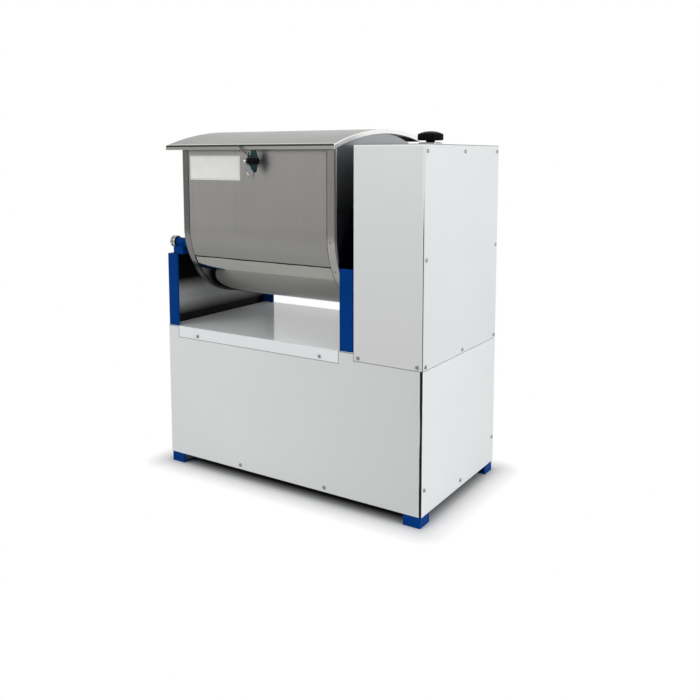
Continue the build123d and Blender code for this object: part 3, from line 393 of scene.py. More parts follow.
def metal(name, colour, dark, rough, grain=(60, 60, 60), grain_depth=0.05, smudge=0.06, tints=(),
          scoured=None, rim=1.0):
    """A bare metal. grain is the squeeze of its scratches along X, Y and Z, scoured a mask of matt places."""
    material, tree, shader = new_material(name, Metallic=1.0, Specular_Tint=(rim, rim, rim, 1.0))
    cloud = noise(tree, 5.0, detail=5.0)
    streak = noise(tree, 1.0, grain, detail=6.0)
    worn = add(tree, "Math", operation="MULTIPLY_ADD")
    worn.inputs[1].default_value = 0.6
    tree.links.new(streak, worn.inputs[0])
    tree.links.new(span(tree, cloud, 0.0, 0.4), worn.inputs[2])
    base = mix(tree, span(tree, worn.outputs[0], 0.0, 1.0, 0.2, 0.8), colour, dark)
    tree.links.new(tinted(tree, base, tints), shader.inputs["Base Color"])
    polish = span(tree, worn.outputs[0], rough - smudge, rough + smudge, 0.2, 0.8)
    if scoured is not None:
        matt = add(tree, "Math", operation="MULTIPLY_ADD")
        matt.inputs[1].default_value = scoured_roughness
        tree.links.new(scoured(tree), matt.inputs[0])
        tree.links.new(polish, matt.inputs[2])
        polish = matt.outputs[0]
    tree.links.new(polish, shader.inputs["Roughness"])
    rounded = add(tree, "Bevel", Radius=0.0006)
    rounded.samples = 4
    scratched = bump(tree, streak, grain_depth, 0.0004, rounded.outputs["Normal"])
    tree.links.new(scratched, shader.inputs["Normal"])
    return material


zinc = metal("zinc_plate", (0.45, 0.45, 0.45), (0.24, 0.24, 0.24), 0.20)
print("first metal:", zinc.name)


# %% [markdown]
# ## Marks on the steel
# The right end plate's outside carries painted shade: dark low down, lighter towards the top. Dough scours the
# trough matt inside, while its round outside stays polished. The lid's front edge is folded: the bend carries a
# painted dark reflection, a painted highlight runs above it, and the fold's front and the lid's cut right end
# are painted lighter as highlights. Painted shade makes the front sheet a little darker towards the drive and
# where it turns under, and darkens the rims' outer edges.

# %% Masks on the steel
def drive_side(tree):
    """The outside of the right end plate, which looks at the drive column."""
    return both(tree, ramp("X", 0.0, 1.0, 0.1468, 0.1473)(tree), looks(tree, "X", 0.0, 1.0, 0.6, 0.8))


def painted_shade_end_plate(tree):
    """Painted shade on the end plate: dark, and lighter towards the top."""
    wiped = ramp("Z", 0.0, 1.0, 0.64, 0.79)(tree)
    return mix(tree, wiped, (0.050, 0.052, 0.055), (0.33, 0.34, 0.36))


def inside_trough(tree):
    """The inner side of the trough sheet, near the mixing axis; above the axis only Y counts."""
    place = add(tree, "TexCoord")
    moved = add(tree, "VectorMath", operation="ADD")
    moved.inputs[1].default_value = (0.0, -shaft_y, -shaft_z)
    lower = add(tree, "VectorMath", operation="MINIMUM")
    lower.inputs[1].default_value = (1.0, 1.0, 0.0)
    flat = add(tree, "VectorMath", operation="MULTIPLY")
    flat.inputs[1].default_value = (0.0, 1.0, 1.0)
    reach = add(tree, "VectorMath", operation="LENGTH")
    tree.links.new(place.outputs["Object"], moved.inputs[0])
    tree.links.new(moved.outputs[0], lower.inputs[0])
    tree.links.new(lower.outputs[0], flat.inputs[0])
    tree.links.new(flat.outputs[0], reach.inputs[0])
    return span(tree, reach.outputs["Value"], 1.0, 0.0, 0.1715, 0.1720)


def broad_streaks(tree):
    """Broad, faint upright streaks from wiping."""
    return span(tree, noise(tree, 1.0, (150, 4, 3), detail=4.0), 0.0, 0.55, 0.38, 0.68)


def painted_highlight_lid_fold(tree):
    """Painted highlight: the front of the lid's folded edge, painted lighter."""
    return looks(tree, "Y", 1.0, 0.0, -0.9, -0.6)


def painted_reflection_lid_bend(tree):
    """Painted reflection: a dark line on the sharp bend above the fold."""
    return both(tree, stripe(tree, "Y", -0.2080, -0.2052), stripe(tree, "Z", 0.7752, 0.7800))


def painted_highlight_lid_line(tree):
    """Painted highlight: the bright line behind the bend."""
    return both(tree, stripe(tree, "Y", -0.2052, -0.2005), looks(tree, "Z", 0.0, 1.0, 0.2, 0.4))


# painted shade: the front sheet is painted darker towards the drive column
painted_shade_towards_drive = ramp("X", 0.0, 1.0, -0.25, 0.12)    # the front sheet darkens towards the drive column
# painted shade: the front sheet is painted darker where it turns under
painted_shade_low_front = ramp("Z", 1.0, 0.0, 0.535, 0.605)       # and where it turns under
# painted shade: dark strips on the outer edges of both rims, seen from the front
painted_shade_left_rim = front_band(-0.2890, -0.2858)             # the outer edges of both rims, seen from the front
painted_shade_right_rim = front_band(0.1440, 0.1470)
left_flange = front_band(-0.2860, -0.2640)          # the left rim's front, which the bracket shades
# painted highlight: a near-white strip on the lid's cut right end
painted_highlight_lid_end = band("X", 0.1532, 0.158)                  # the lid's cut right end
print("masks on steel:", [mask.__name__ for mask in (drive_side, inside_trough, painted_highlight_lid_fold, painted_reflection_lid_bend)])

# %% Steels of this machine
# the painted shade colour of the rims' outer edges
painted_shade_rim_colour = (0.16, 0.155, 0.145)
front_steel = metal(
    "stainless_front_sheet", (0.50, 0.49, 0.475), (0.445, 0.44, 0.425), 0.40, (900, 14, 14), 0.10,
    tints=[(painted_shade_towards_drive, (0.355, 0.35, 0.335)), (broad_streaks, (0.40, 0.39, 0.375)),
           (painted_shade_low_front, (0.34, 0.335, 0.32))],
)
trough_steel = metal("stainless_polished_trough", (0.475, 0.468, 0.435), (0.42, 0.412, 0.384), 0.06,
                     (500, 8, 8), 0.015, 0.03, scoured=inside_trough)
end_steel = metal(
    "stainless_end_plate", (0.50, 0.49, 0.46), (0.42, 0.41, 0.385), 0.20, (14, 700, 14), 0.05,
    tints=[(drive_side, painted_shade_end_plate), (painted_shade_left_rim, painted_shade_rim_colour), (left_flange, (0.27, 0.265, 0.25)),
           (painted_shade_right_rim, painted_shade_rim_colour)],
)
lid_steel = metal(
    "stainless_lid", (0.36, 0.36, 0.347), (0.315, 0.315, 0.302), 0.30, (14, 700, 700), 0.05,
    tints=[(painted_highlight_lid_fold, (0.50, 0.49, 0.455)), (painted_highlight_lid_line, (0.72, 0.72, 0.69)), (painted_reflection_lid_bend, (0.06, 0.06, 0.055)),
           (painted_highlight_lid_end, (0.92, 0.92, 0.90))], rim=0.9,
)
arm_steel = metal("stainless_arms", (0.50, 0.50, 0.48), (0.38, 0.38, 0.365), 0.26, (90, 90, 90), 0.12)
wire_steel = metal("dark_wire", (0.10, 0.10, 0.095), (0.05, 0.05, 0.05), 0.30)
turned_steel = metal("turned_bar", (0.50, 0.50, 0.50), (0.36, 0.36, 0.36), 0.26, (500, 40, 40), 0.08)
bright_steel = metal("bright_plate", (0.66, 0.66, 0.64), (0.52, 0.52, 0.50), 0.16)
bronze = metal("bush_bronze", (0.60, 0.38, 0.14), (0.44, 0.27, 0.10), 0.34)
iron = metal("oiled_iron", (0.12, 0.12, 0.125), (0.07, 0.07, 0.075), 0.55, grain_depth=0.30)

painted_count = len(finish_of)
wear(front_steel, on=["tub_front_sheet"])
wear(trough_steel, on=["tub_shell", "tub_hinge_straps"])
wear(arm_steel, on=["mixing_arms"])
wear(end_steel, on=["tub_end_left", "tub_end_right"])
wear(lid_steel, on=["lid", "lid_hinge_leaves"])
wear(turned_steel, on=[
    "trunnions", "lock_boss", "lock_pin", "mixing_shaft", "countershaft", "pinion", "motor_shaft",
    "plate_spacers",
])
wear(wire_steel, on=["latch_hook"])
wear(bright_steel, on=[
    "lock_knob", "latch_bracket", "latch_bolts", "latch_screw", "hinge_pins", "switch_plate",
    "drive_bearings", "rim_rivets",
])
wear(zinc, on=["bearing_bolts", "trunnion_bolts", "base_screws", "column_screws"])
wear(bronze, on=["trunnion_bushes"])
wear(iron, on=["bearing_housings", "main_gear", "driven_pulley", "motor_pulley"])
print("metal nodes:", len(finish_of) - painted_count)


# %% [markdown]
# ## Plastic and rubber
# The knobs are moulded plastic, nearly black, with hardly any gloss; the belt is matt rubber.

# %% Plastic and rubber materials
def moulded(name, light, dark, rough, grain=300.0, depth=0.08, gloss=0.5):
    """A moulded plastic or rubber with a fine, even grain."""
    material, tree, shader = new_material(name, Specular_IOR_Level=gloss)
    drifting(tree, shader, 30.0, dark, light, 50.0, rough - 0.06, rough + 0.06)
    tree.links.new(bump(tree, noise(tree, grain, detail=1.0), depth, 0.0003), shader.inputs["Normal"])
    return material


black_plastic = moulded("knob_plastic", (0.004, 0.004, 0.004), (0.002, 0.002, 0.002), 0.42, gloss=0.05)
teal_plastic = moulded("dark_teal_plastic", (0.006, 0.036, 0.044), (0.003, 0.015, 0.019), 0.30, gloss=0.25)
rubber = moulded("ribbed_rubber", (0.020, 0.020, 0.020), (0.012, 0.012, 0.012), 0.78, 500.0, 0.25)
wear(black_plastic, on=["switch_knob", "switch_body", "cable_gland"])
wear(teal_plastic, on=["latch_wing_knob"])
wear(rubber, on=["drive_belt"])
print("nodes without a finish:", sorted(set(nodes) - set(finish_of)))


# %% [markdown]
# ## Making repeated parts with Geometry Nodes
# A panel screw is one small mesh, copied to every place where the CAD has a screw. The places are read from
# the CAD node, where each separate solid is one screw. The tree takes the points and the screw mesh, turns
# each copy along its point's outward direction, and makes the copies real, because the export drops instances.

# %% Places of separate solids
def islands(name):
    """The lowest and highest corner of each separate solid in a CAD node."""
    work = bmesh.new()
    work.from_mesh(nodes[name].data)
    bmesh.ops.remove_doubles(work, verts=work.verts, dist=1e-6)
    left = set(work.verts)
    boxes = []
    while left:
        queue = [left.pop()]
        found = list(queue)
        while queue:
            vertex = queue.pop()
            for edge in vertex.link_edges:
                other = edge.other_vert(vertex)
                if other in left:
                    left.discard(other)
                    queue.append(other)
                    found.append(other)
        low = Vector([min(vertex.co[axis] for vertex in found) for axis in range(3)])
        high = Vector([max(vertex.co[axis] for vertex in found) for axis in range(3)])
        boxes.append((low, high))
    work.free()
    return sorted(boxes, key=lambda pair: tuple(round(value, 4) for value in pair[0]))


print("panel screws:", len(islands("base_screws")), "+", len(islands("column_screws")))


# %% Building and running a tree
def new_tree(name, inputs, output):
    """An empty Geometry Nodes tree with named inputs and one geometry output."""
    tree = bpy.data.node_groups.new(name, "GeometryNodeTree")
    for label, kind in inputs.items():
        tree.interface.new_socket(label, in_out="INPUT", socket_type="NodeSocket" + kind)
    tree.interface.new_socket(output, in_out="OUTPUT", socket_type="NodeSocketGeometry")
    return tree, tree.nodes.new("NodeGroupInput"), tree.nodes.new("NodeGroupOutput")


def plain_object(name, mesh):
    """An object in the scene that holds a mesh."""
    item = bpy.data.objects.new(name, mesh)
    bpy.context.scene.collection.objects.link(item)
    return item


def run_tree(name, mesh, tree, values):
    """Runs a tree on a carrier mesh, removes the carrier and returns the result as a plain mesh."""
    carrier = plain_object(name + "_carrier", mesh)
    modifier = carrier.modifiers.new("tree", "NODES")
    modifier.node_group = tree
    for item in tree.interface.items_tree:
        if item.in_out == "INPUT" and item.name in values:
            modifier[item.identifier] = values[item.name]
    bpy.context.view_layer.update()
    result = bpy.data.meshes.new_from_object(carrier.evaluated_get(bpy.context.evaluated_depsgraph_get()))
    result.name = name
    bpy.data.objects.remove(carrier)
    return result


print("tree helpers:", [helper.__name__ for helper in (new_tree, run_tree)])


# %% The copying tree
def copier_tree():
    """Points with an 'outward' direction in, real copies of a source mesh out."""
    tree, start, end = new_tree("copies_on_points", {
        "Points": "Geometry", "Source": "Object", "Size": "Float", "Finish": "Material", "Most turn": "Float",
        "Turn seed": "Int",
    }, "Copies")
    make, join = tree.nodes.new, tree.links.new
    source = make("GeometryNodeObjectInfo")
    outward = make("GeometryNodeInputNamedAttribute")
    outward.data_type = "FLOAT_VECTOR"
    outward.inputs["Name"].default_value = "outward"
    align = make("FunctionNodeAlignRotationToVector")
    align.axis = "Z"
    spin = make("FunctionNodeRandomValue")
    spin.data_type = "FLOAT"
    about = make("FunctionNodeAxisAngleToRotation")
    about.inputs["Axis"].default_value = (0, 0, 1)
    turned_copy = make("FunctionNodeRotateRotation")
    turned_copy.rotation_space = "LOCAL"
    copies = make("GeometryNodeInstanceOnPoints")
    real = make("GeometryNodeRealizeInstances")
    finish = make("GeometryNodeSetMaterial")
    join(start.outputs["Source"], source.inputs["Object"])
    join(outward.outputs["Attribute"], align.inputs["Vector"])
    join(start.outputs["Most turn"], spin.inputs[3])
    join(start.outputs["Turn seed"], spin.inputs["Seed"])
    join(spin.outputs[1], about.inputs["Angle"])
    join(align.outputs["Rotation"], turned_copy.inputs["Rotation"])
    join(about.outputs["Rotation"], turned_copy.inputs["Rotate By"])
    join(start.outputs["Points"], copies.inputs["Points"])
    join(source.outputs["Geometry"], copies.inputs["Instance"])
    join(turned_copy.outputs["Rotation"], copies.inputs["Rotation"])
    join(start.outputs["Size"], copies.inputs["Scale"])
    join(copies.outputs["Instances"], real.inputs["Geometry"])
    join(real.outputs["Geometry"], finish.inputs["Geometry"])
    join(start.outputs["Finish"], finish.inputs["Material"])
    join(finish.outputs["Geometry"], end.inputs["Copies"])
    return tree


copies_on_points = copier_tree()
print("copying tree nodes:", len(copies_on_points.nodes))


# %% Copies as one piece
def copies(name, places, source_mesh, finish, body, replaced, slot, seed=1, most_turn=2 * pi):
    """Copies a source mesh to (point, outward) places and turns the result into one plain piece."""
    points = bpy.data.meshes.new(name + "_points")
    points.from_pydata([point for point, _ in places], [], [])
    outward = points.attributes.new("outward", "FLOAT_VECTOR", "POINT")
    for number, (_, way) in enumerate(places):
        outward.data[number].vector = way
    source = plain_object(name + "_source", source_mesh)
    values = {"Source": source, "Size": 1.0, "Finish": finish, "Most turn": most_turn, "Turn seed": seed}
    piece = plain_object(name, run_tree(name, points, copies_on_points, values))
    bpy.data.objects.remove(source)
    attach(piece, body)
    if replaced:
        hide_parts(*replaced)
    print(name, "copies:", len(places), "faces:", len(piece.data.polygons))


# %% [markdown]
# ## Panel screws
# The real screws are small pan heads with a cross recess, pressed a little into the paint. A lathe profile
# gives the head. The recess is cut by sinking the middle vertices along a cross.

# %% Turned shapes
def lathe(profile, steps):
    """Turns a list of (radius, height) about Z into a closed mesh."""
    work = bmesh.new()
    rings = []
    for radius, height in profile:
        if radius == 0:
            rings.append([work.verts.new((0, 0, height))])
        else:
            rings.append([
                work.verts.new((radius * cos(2 * pi * k / steps), radius * sin(2 * pi * k / steps), height))
                for k in range(steps)
            ])
    for lower, upper in zip(rings, rings[1:]):
        for k in range(steps):
            n = k + 1
            loop = [lower[k % len(lower)], lower[n % len(lower)], upper[n % len(upper)], upper[k % len(upper)]]
            corners = list(dict.fromkeys(loop))
            if len(corners) > 2:
                work.faces.new(corners)
    bmesh.ops.recalc_face_normals(work, faces=work.faces)
    return work


def finished(work, name, smooth=True, finish=None):
    """Turns a bmesh into a mesh with a finish."""
    mesh = bpy.data.meshes.new(name)
    work.to_mesh(mesh)
    work.free()
    for polygon in mesh.polygons:
        polygon.use_smooth = smooth
    if finish:
        mesh.materials.append(finish)
    return mesh


print("shape helpers:", [helper.__name__ for helper in (lathe, finished)])


# %% One pan-head screw
def pan_head(radius, height, recess):
    """A pan head with a cross recess, its seat at z = 0."""
    profile = [(0, -0.0002), (radius, -0.0002), (radius, height * 0.35), (radius * 0.94, height * 0.7),
               (radius * 0.75, height * 0.93), (radius * 0.55, height), (radius * 0.42, height * 1.01),
               (radius * 0.28, height * 1.01), (radius * 0.14, height * 1.01), (0, height * 1.01)]
    work = lathe(profile, 24)
    for vertex in work.verts:
        reach = vertex.co.xy.length
        if vertex.co.z > height * 0.95 and reach < radius * 0.5:
            if min(abs(vertex.co.x), abs(vertex.co.y)) < radius * 0.10:
                vertex.co.z -= recess
    return finished(work, "pan_head")


screw_mesh = pan_head(radius=0.0041, height=0.00215, recess=0.0016)
print("screw faces:", len(screw_mesh.polygons))


# %% Panel screws
seat_depth = 0.0022


def outward_of(low, high):
    """The way a screw head looks: away from the panel that it is nearest to."""
    middle = (low + high) / 2
    ways = [(abs(middle.x - half_width), (1, 0, 0)), (abs(middle.x + half_width), (-1, 0, 0)),
            (abs(middle.y - half_depth), (0, 1, 0)), (abs(middle.y + half_depth), (0, -1, 0))]
    return min(ways)[1]


def heads(name):
    """The seat of each screw head in a CAD node, and the way it looks."""
    places = []
    for low, high in islands(name):
        way = Vector(outward_of(low, high))
        middle = (low + high) / 2
        reach = (high - low) / 2
        seat = middle + Vector([w * (r - seat_depth) for w, r in zip(way, reach)])
        places.append((seat, way))
    return places


copies("panel_screws", heads("base_screws") + heads("column_screws"), screw_mesh, zinc, "stand",
       ["base_screws", "column_screws"], "zinc_screws", seed=3)


# %% [markdown]
# ## Rivets and bolts
# The same tree makes the rivets on the trough's front rims and the bolts of the bearings. A rivet is a low
# dome. A bolt has a chamfered hexagon on a thin washer: the lathe with six steps turns a hexagon.

# %% Rivets on the rims
rivet_dome = lathe([(0, -0.0003), (0.0022, -0.0003), (0.0022, 0.0002), (0.0019, 0.0006), (0.0012, 0.0009),
                    (0, 0.001)], 16)
axis = (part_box("mixing_shaft")[0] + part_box("mixing_shaft")[1]) / 2


def rim_way(middle):
    """Out of the rim: forwards on its straight part, away from the axis on its round part."""
    if middle.z > axis.z:
        return Vector((0, -1, 0))
    return Vector((0, middle.y - axis.y, middle.z - axis.z)).normalized()


rivet_places = []
for low, high in islands("rim_rivets"):
    way = rim_way((low + high) / 2)
    rivet_places.append(((low + high) / 2 - way * 0.0005, way))
copies("rim_rivet_heads", rivet_places, finished(rivet_dome, "rivet_dome"), zinc, "tub", ["rim_rivets"],
       "stainless", seed=5)


# %% One hexagon bolt head
def joined(*works):
    """Puts several closed shells into one."""
    whole = bmesh.new()
    for work in works:
        part = bpy.data.meshes.new("part")
        work.to_mesh(part)
        work.free()
        whole.from_mesh(part)
        bpy.data.meshes.remove(part)
    return whole


def hexagon_head(radius, height):
    """A hexagon with a chamfered top, on a thin washer."""
    washer = lathe([(0, -0.0002), (radius * 1.12, -0.0002), (radius * 1.12, 0.0006), (radius * 1.06, 0.0008),
                    (0, 0.0008)], 24)
    head = lathe([(0, 0.0006), (radius, 0.0006), (radius, height * 0.86), (radius * 0.86, height),
                  (0, height)], 6)
    return finished(joined(washer, head), "hexagon_head", smooth=False)


print("bolt helpers:", [helper.__name__ for helper in (joined, hexagon_head)])

# %% Bolts of the bearings and of the journals
trough_middle = -0.07


def bolt_places(name, height, heads_inside):
    """A bolt's head lies at one end of its shank: inwards on the bearings, outwards on the journals."""
    places = []
    for low, high in islands(name):
        middle = (low + high) / 2
        side = 1 if middle.x > trough_middle else -1
        way = -side if heads_inside else side
        seat = high.x - height if way > 0 else low.x + height
        places.append((Vector((seat, middle.y, middle.z)), Vector((way, 0, 0))))
    return places


for name, radius, height, heads_inside, body in (
    ("bearing_bolts", 0.0055, 0.004, True, "stand"), ("trunnion_bolts", 0.0050, 0.0035, False, "tub"),
):
    places = bolt_places(name, height, heads_inside)
    copies(name + "_hexagons", places, hexagon_head(radius, height), zinc, body, [name], "zinc_screws", seed=7)


# %% [markdown]
# ## Louvre hoods
# Behind the motor the rear sheet has two groups of air slots. On a real machine each slot is pressed out
# into a small hood that opens downwards and keeps flour out. One hood is a grid whose height is an arch
# along the slot and a slope across it, and the copying tree sets it over every slot, without any turn.

# %% One louvre hood
def louvre_hood(length, rise, above, below, thick):
    """Local X runs along the slot, Z out of the sheet, and Y towards the open lower side."""
    across, along = 6, 20
    work = bmesh.new()
    rows = []
    for j in range(across + 1):
        down = j / across
        row = []
        for k in range(along + 1):
            u = 2 * k / along - 1
            arch = max(0.0, 1 - abs(u) ** 6) ** 0.5
            height = -0.0003 + (rise + 0.0003) * sin(pi / 2 * down) * arch
            row.append(work.verts.new((u * length / 2, -above + (above + below) * down, height)))
        rows.append(row)
    for upper, lower in zip(rows, rows[1:]):
        for k in range(along):
            work.faces.new([upper[k], upper[k + 1], lower[k + 1], lower[k]])
    bmesh.ops.remove_doubles(work, verts=work.verts, dist=1e-7)
    bmesh.ops.solidify(work, geom=work.faces[:], thickness=thick)
    bmesh.ops.recalc_face_normals(work, faces=work.faces)
    return finished(work, "louvre_hood")


hood_mesh = louvre_hood(length=0.094, rise=0.0035, above=0.0065, below=0.0030, thick=0.0008)
print("hood faces:", len(hood_mesh.polygons))

# %% Louvre hoods
slots_height, slot_pitch, slot_offset = 0.150, 0.014, 0.063
motor_x = (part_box("motor")[0].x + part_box("motor")[1].x) / 2
rear_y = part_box("rear_panel")[1].y
slot_places = [
    (Vector((motor_x + side * slot_offset, rear_y, slots_height + slot_pitch * row)), Vector((0, 1, 0)))
    for side in (-1, 1) for row in range(-3, 4)
]
copies("louvre_hoods", slot_places, hood_mesh, white_paint, "stand", [], "white_paint", seed=1, most_turn=0.0)


# %% [markdown]
# ## Dark lines of painted shade along the joints
# Where two sheets of the trough meet, a thin dark bead is put in as painted shade: along the crease under the
# front sheet, and between that sheet and the folded rims. Each line is a bead that follows a path. The tree
# thickens any path of edges, and a little noise keeps the line from looking ruled.

# %% The bead tree
def bead_tree():
    """A path of edges in, a slightly wavering round bead along it out."""
    tree, start, end = new_tree("bead_on_path", {
        "Path": "Geometry", "Radius": "Float", "Waviness": "Float", "Seed": "Float", "Finish": "Material",
    }, "Bead")
    make, join = tree.nodes.new, tree.links.new
    line = make("GeometryNodeMeshToCurve")
    even = make("GeometryNodeResampleCurve")
    even.mode = "LENGTH"
    even.inputs["Length"].default_value = 0.006
    drift = make("ShaderNodeTexNoise")
    drift.noise_dimensions = "4D"
    drift.inputs["Scale"].default_value = 26.0
    centred = make("ShaderNodeVectorMath")
    centred.operation = "SUBTRACT"
    centred.inputs[1].default_value = (0.5, 0.5, 0.5)
    scaled = make("ShaderNodeVectorMath")
    scaled.operation = "SCALE"
    moved = make("GeometryNodeSetPosition")
    circle = make("GeometryNodeCurvePrimitiveCircle")
    circle.inputs["Resolution"].default_value = 8
    tube = make("GeometryNodeCurveToMesh")
    tube.inputs["Fill Caps"].default_value = True
    real = make("GeometryNodeRealizeInstances")
    finish = make("GeometryNodeSetMaterial")
    join(start.outputs["Path"], line.inputs["Mesh"])
    join(line.outputs["Curve"], even.inputs["Curve"])
    join(even.outputs["Curve"], moved.inputs["Geometry"])
    join(start.outputs["Seed"], drift.inputs["W"])
    join(drift.outputs["Color"], centred.inputs[0])
    join(centred.outputs[0], scaled.inputs[0])
    join(start.outputs["Waviness"], scaled.inputs["Scale"])
    join(scaled.outputs[0], moved.inputs["Offset"])
    join(start.outputs["Radius"], circle.inputs["Radius"])
    join(moved.outputs["Geometry"], tube.inputs["Curve"])
    join(circle.outputs["Curve"], tube.inputs["Profile Curve"])
    join(tube.outputs["Mesh"], real.inputs["Geometry"])
    join(real.outputs["Geometry"], finish.inputs["Geometry"])
    join(start.outputs["Finish"], finish.inputs["Material"])
    join(finish.outputs["Geometry"], end.inputs["Bead"])
    return tree


bead_on_path = bead_tree()
print("bead tree nodes:", len(bead_on_path.nodes))


# %% Beads on the trough
def bead(name, points, radius, waviness, seed, body):
    """A dark bead of painted shade along a row of points, as a plain closed mesh."""
    path = bpy.data.meshes.new(name + "_path")
    path.from_pydata(points, [(k, k + 1) for k in range(len(points) - 1)], [])
    values = {"Radius": radius, "Waviness": waviness, "Seed": float(seed), "Finish": shade_bead_finish}
    result = run_tree(name, path, bead_on_path, values)
    work = bmesh.new()
    work.from_mesh(result)
    bmesh.ops.remove_doubles(work, verts=work.verts, dist=1e-7)
    bmesh.ops.recalc_face_normals(work, faces=work.faces)
    work.to_mesh(result)
    work.free()
    result.polygons.foreach_set("use_smooth", [True] * len(result.polygons))
    piece = plain_object(name, result)
    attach(piece, body)
    print(name, "faces:", len(result.polygons))


# painted shade: a near-black finish for the beads along the trough's joints
shade_bead_finish = moulded("painted_shade_bead", (0.020, 0.020, 0.020), (0.010, 0.010, 0.010), 0.60, gloss=0.2)
sheet_low, sheet_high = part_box("tub_front_sheet")
skin = axis.y - sheet_low.y


def on_trough(x, turn, reach):
    """A point on the trough's round part: turn 0 looks forwards, 90 looks down."""
    return (x, axis.y - reach * cos(radians(turn)), axis.z - reach * sin(radians(turn)))


crease_turn = 23.55
sheet_width = sheet_high.x - sheet_low.x
crease = [on_trough(sheet_low.x + sheet_width * k / 12, crease_turn, skin - 0.0011) for k in range(13)]
bead("crease_bead", crease, 0.0020, 0.0034, 1, "tub")
for side, x in (("left", sheet_low.x - 0.0003), ("right", sheet_high.x + 0.0003)):
    line = [(x, axis.y - skin, sheet_high.z - 0.002), (x, axis.y - skin, axis.z)]
    line += [on_trough(x, turn, skin - 0.0002) for turn in range(5, 90, 5)]
    bead("rim_bead_" + side, line, 0.0008, 0.0005, 2, "tub")


# %% [markdown]
# ## Wing knob of the latch
# The latch is tightened by a small plastic wing knob. Its hub is turned, with two grooves, and its two wings
# are flat paddles with a barb beside the hub. A paddle is an outline that is pushed out to its thickness, and
# then every edge is rounded.

# %% Hub and paddle
def turned_along_x(profile, steps, start):
    """A lathe part whose axis is X; start is the place of height 0."""
    work = lathe([(radius / 1000, height / 1000) for radius, height in profile], steps)
    for vertex in work.verts:
        x, y, z = vertex.co
        vertex.co = (start[0] + z, start[1] + x, start[2] + y)
    bmesh.ops.recalc_face_normals(work, faces=work.faces)
    return work


def paddle(outline, start, thick, rounding):
    """A flat outline in XZ, in millimetres from start, with thickness along Y and rounded edges."""
    work = bmesh.new()
    rings = []
    for y in (-thick / 2, thick / 2):
        corners = [(start[0] + x / 1000, start[1] + y, start[2] + z / 1000) for x, z in outline]
        rings.append([work.verts.new(corner) for corner in corners])
    work.faces.new(rings[0])
    work.faces.new(list(reversed(rings[1])))
    for k in range(len(outline)):
        n = (k + 1) % len(outline)
        work.faces.new([rings[0][k], rings[0][n], rings[1][n], rings[1][k]])
    bmesh.ops.recalc_face_normals(work, faces=work.faces)
    bmesh.ops.bevel(work, geom=work.edges[:], offset=rounding, segments=3, affect="EDGES", profile=0.6)
    return work


wing_low, wing_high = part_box("latch_wing_knob")
print("wing knob's box:", [round(value, 4) for value in wing_high - wing_low])

# %% Wing knob
hub_start = (wing_low.x, (wing_low.y + wing_high.y) / 2, (wing_low.z + wing_high.z) / 2)
wing_thick, wing_rounding = 0.0056, 0.0013
hub_profile = [(0, 0), (5.4, 0), (6.4, 0.8), (6.4, 4.6), (7.8, 5.8), (7.9, 10.6), (7.0, 11.6), (7.0, 13.6),
               (7.9, 14.6), (7.8, 20.4), (6.6, 21.8), (6.4, 25.2), (5.4, 25.9), (0, 25.9)]
upper_wing = [(6, 3), (5.2, 10), (6.8, 18), (8.6, 24.9), (19, 24.9), (20.6, 19), (22.6, 12), (25.8, 5.4),
              (20, 3)]
lower_wing = [(6, -3), (20, -3), (25.8, -5.4), (22.6, -9), (20.8, -15), (20.4, -22), (17.4, -24.9),
              (13.4, -23), (8.4, -17), (5.2, -10)]
hub = turned_along_x(hub_profile, 32, hub_start)
hub_faces = len(hub.faces)
wings = [paddle(outline, hub_start, wing_thick, wing_rounding) for outline in (upper_wing, lower_wing)]
wing_parts = joined(hub, *wings)
wing_mesh = finished(wing_parts, "wing_knob", finish=teal_plastic)
wing_mesh.materials.append(black_plastic)
for polygon in wing_mesh.polygons[:hub_faces]:
    polygon.material_index = 1
wing_knob = plain_object("wing_knob", wing_mesh)
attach(wing_knob, "latch_knob")
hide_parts("latch_wing_knob")
print("wing knob:", [round(value, 4) for value in wing_knob.dimensions])


# %% [markdown]
# ## Tilt-lock knob
# The pull knob of the tilt lock is a turned ring, hollow on the side of the bracket. The hollow is
# blackened, partly as its own dark finish and partly as painted shade, so a bright ring shows round a dark
# middle, with three small screws in it. The lathe makes one profile point for each edge, and every second step
# of the rim is sunk a little for the knurl.

# %% Pull knob
knurl_steps, knurl_depth = 96, 0.0004


def turn_of(across):
    """The angle of a (0, y, z) offset about the X axis."""
    return atan2(across[2], across[1])


pull_low, pull_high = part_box("lock_knob")
pull_start = (pull_low.x, (pull_low.y + pull_high.y) / 2, (pull_low.z + pull_high.z) / 2)
pull_profile = [(0, 0), (11.4, 0), (13.3, 0.5), (14.1, 1.8), (14.1, 5.0), (12.6, 5.6), (12.6, 6.6),
                (14.1, 7.2), (14.1, 12.8), (13.5, 14.4), (12.6, 15), (11.4, 14.6), (10.9, 13.4), (10.9, 6.0),
                (0, 6.0)]
pull_work = turned_along_x(pull_profile, knurl_steps, pull_start)
for vertex in pull_work.verts:
    across = Vector((0, vertex.co.y - pull_start[1], vertex.co.z - pull_start[2]))
    height = vertex.co.x - pull_start[0]
    if across.length > 0.0138 and 0.006 < height < 0.0135:
        ridge = round(turn_of(across) / (2 * pi) * knurl_steps) % 2
        vertex.co -= across.normalized() * knurl_depth * ridge
pull_mesh = finished(pull_work, "pull_knob", finish=bright_steel)
# painted shade, in part: the hollow's faces get the black plastic
pull_mesh.materials.append(black_plastic)
for polygon in pull_mesh.polygons:
    across = Vector((0, polygon.center.y - pull_start[1], polygon.center.z - pull_start[2]))
    if across.length < 0.0112 and polygon.center.x > pull_start[0] + 0.0055:
        polygon.material_index = 1
pull_knob = plain_object("pull_knob", pull_mesh)
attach(pull_knob, "tilt_lock")
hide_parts("lock_knob")
print("pull knob:", [round(value, 4) for value in pull_knob.dimensions])

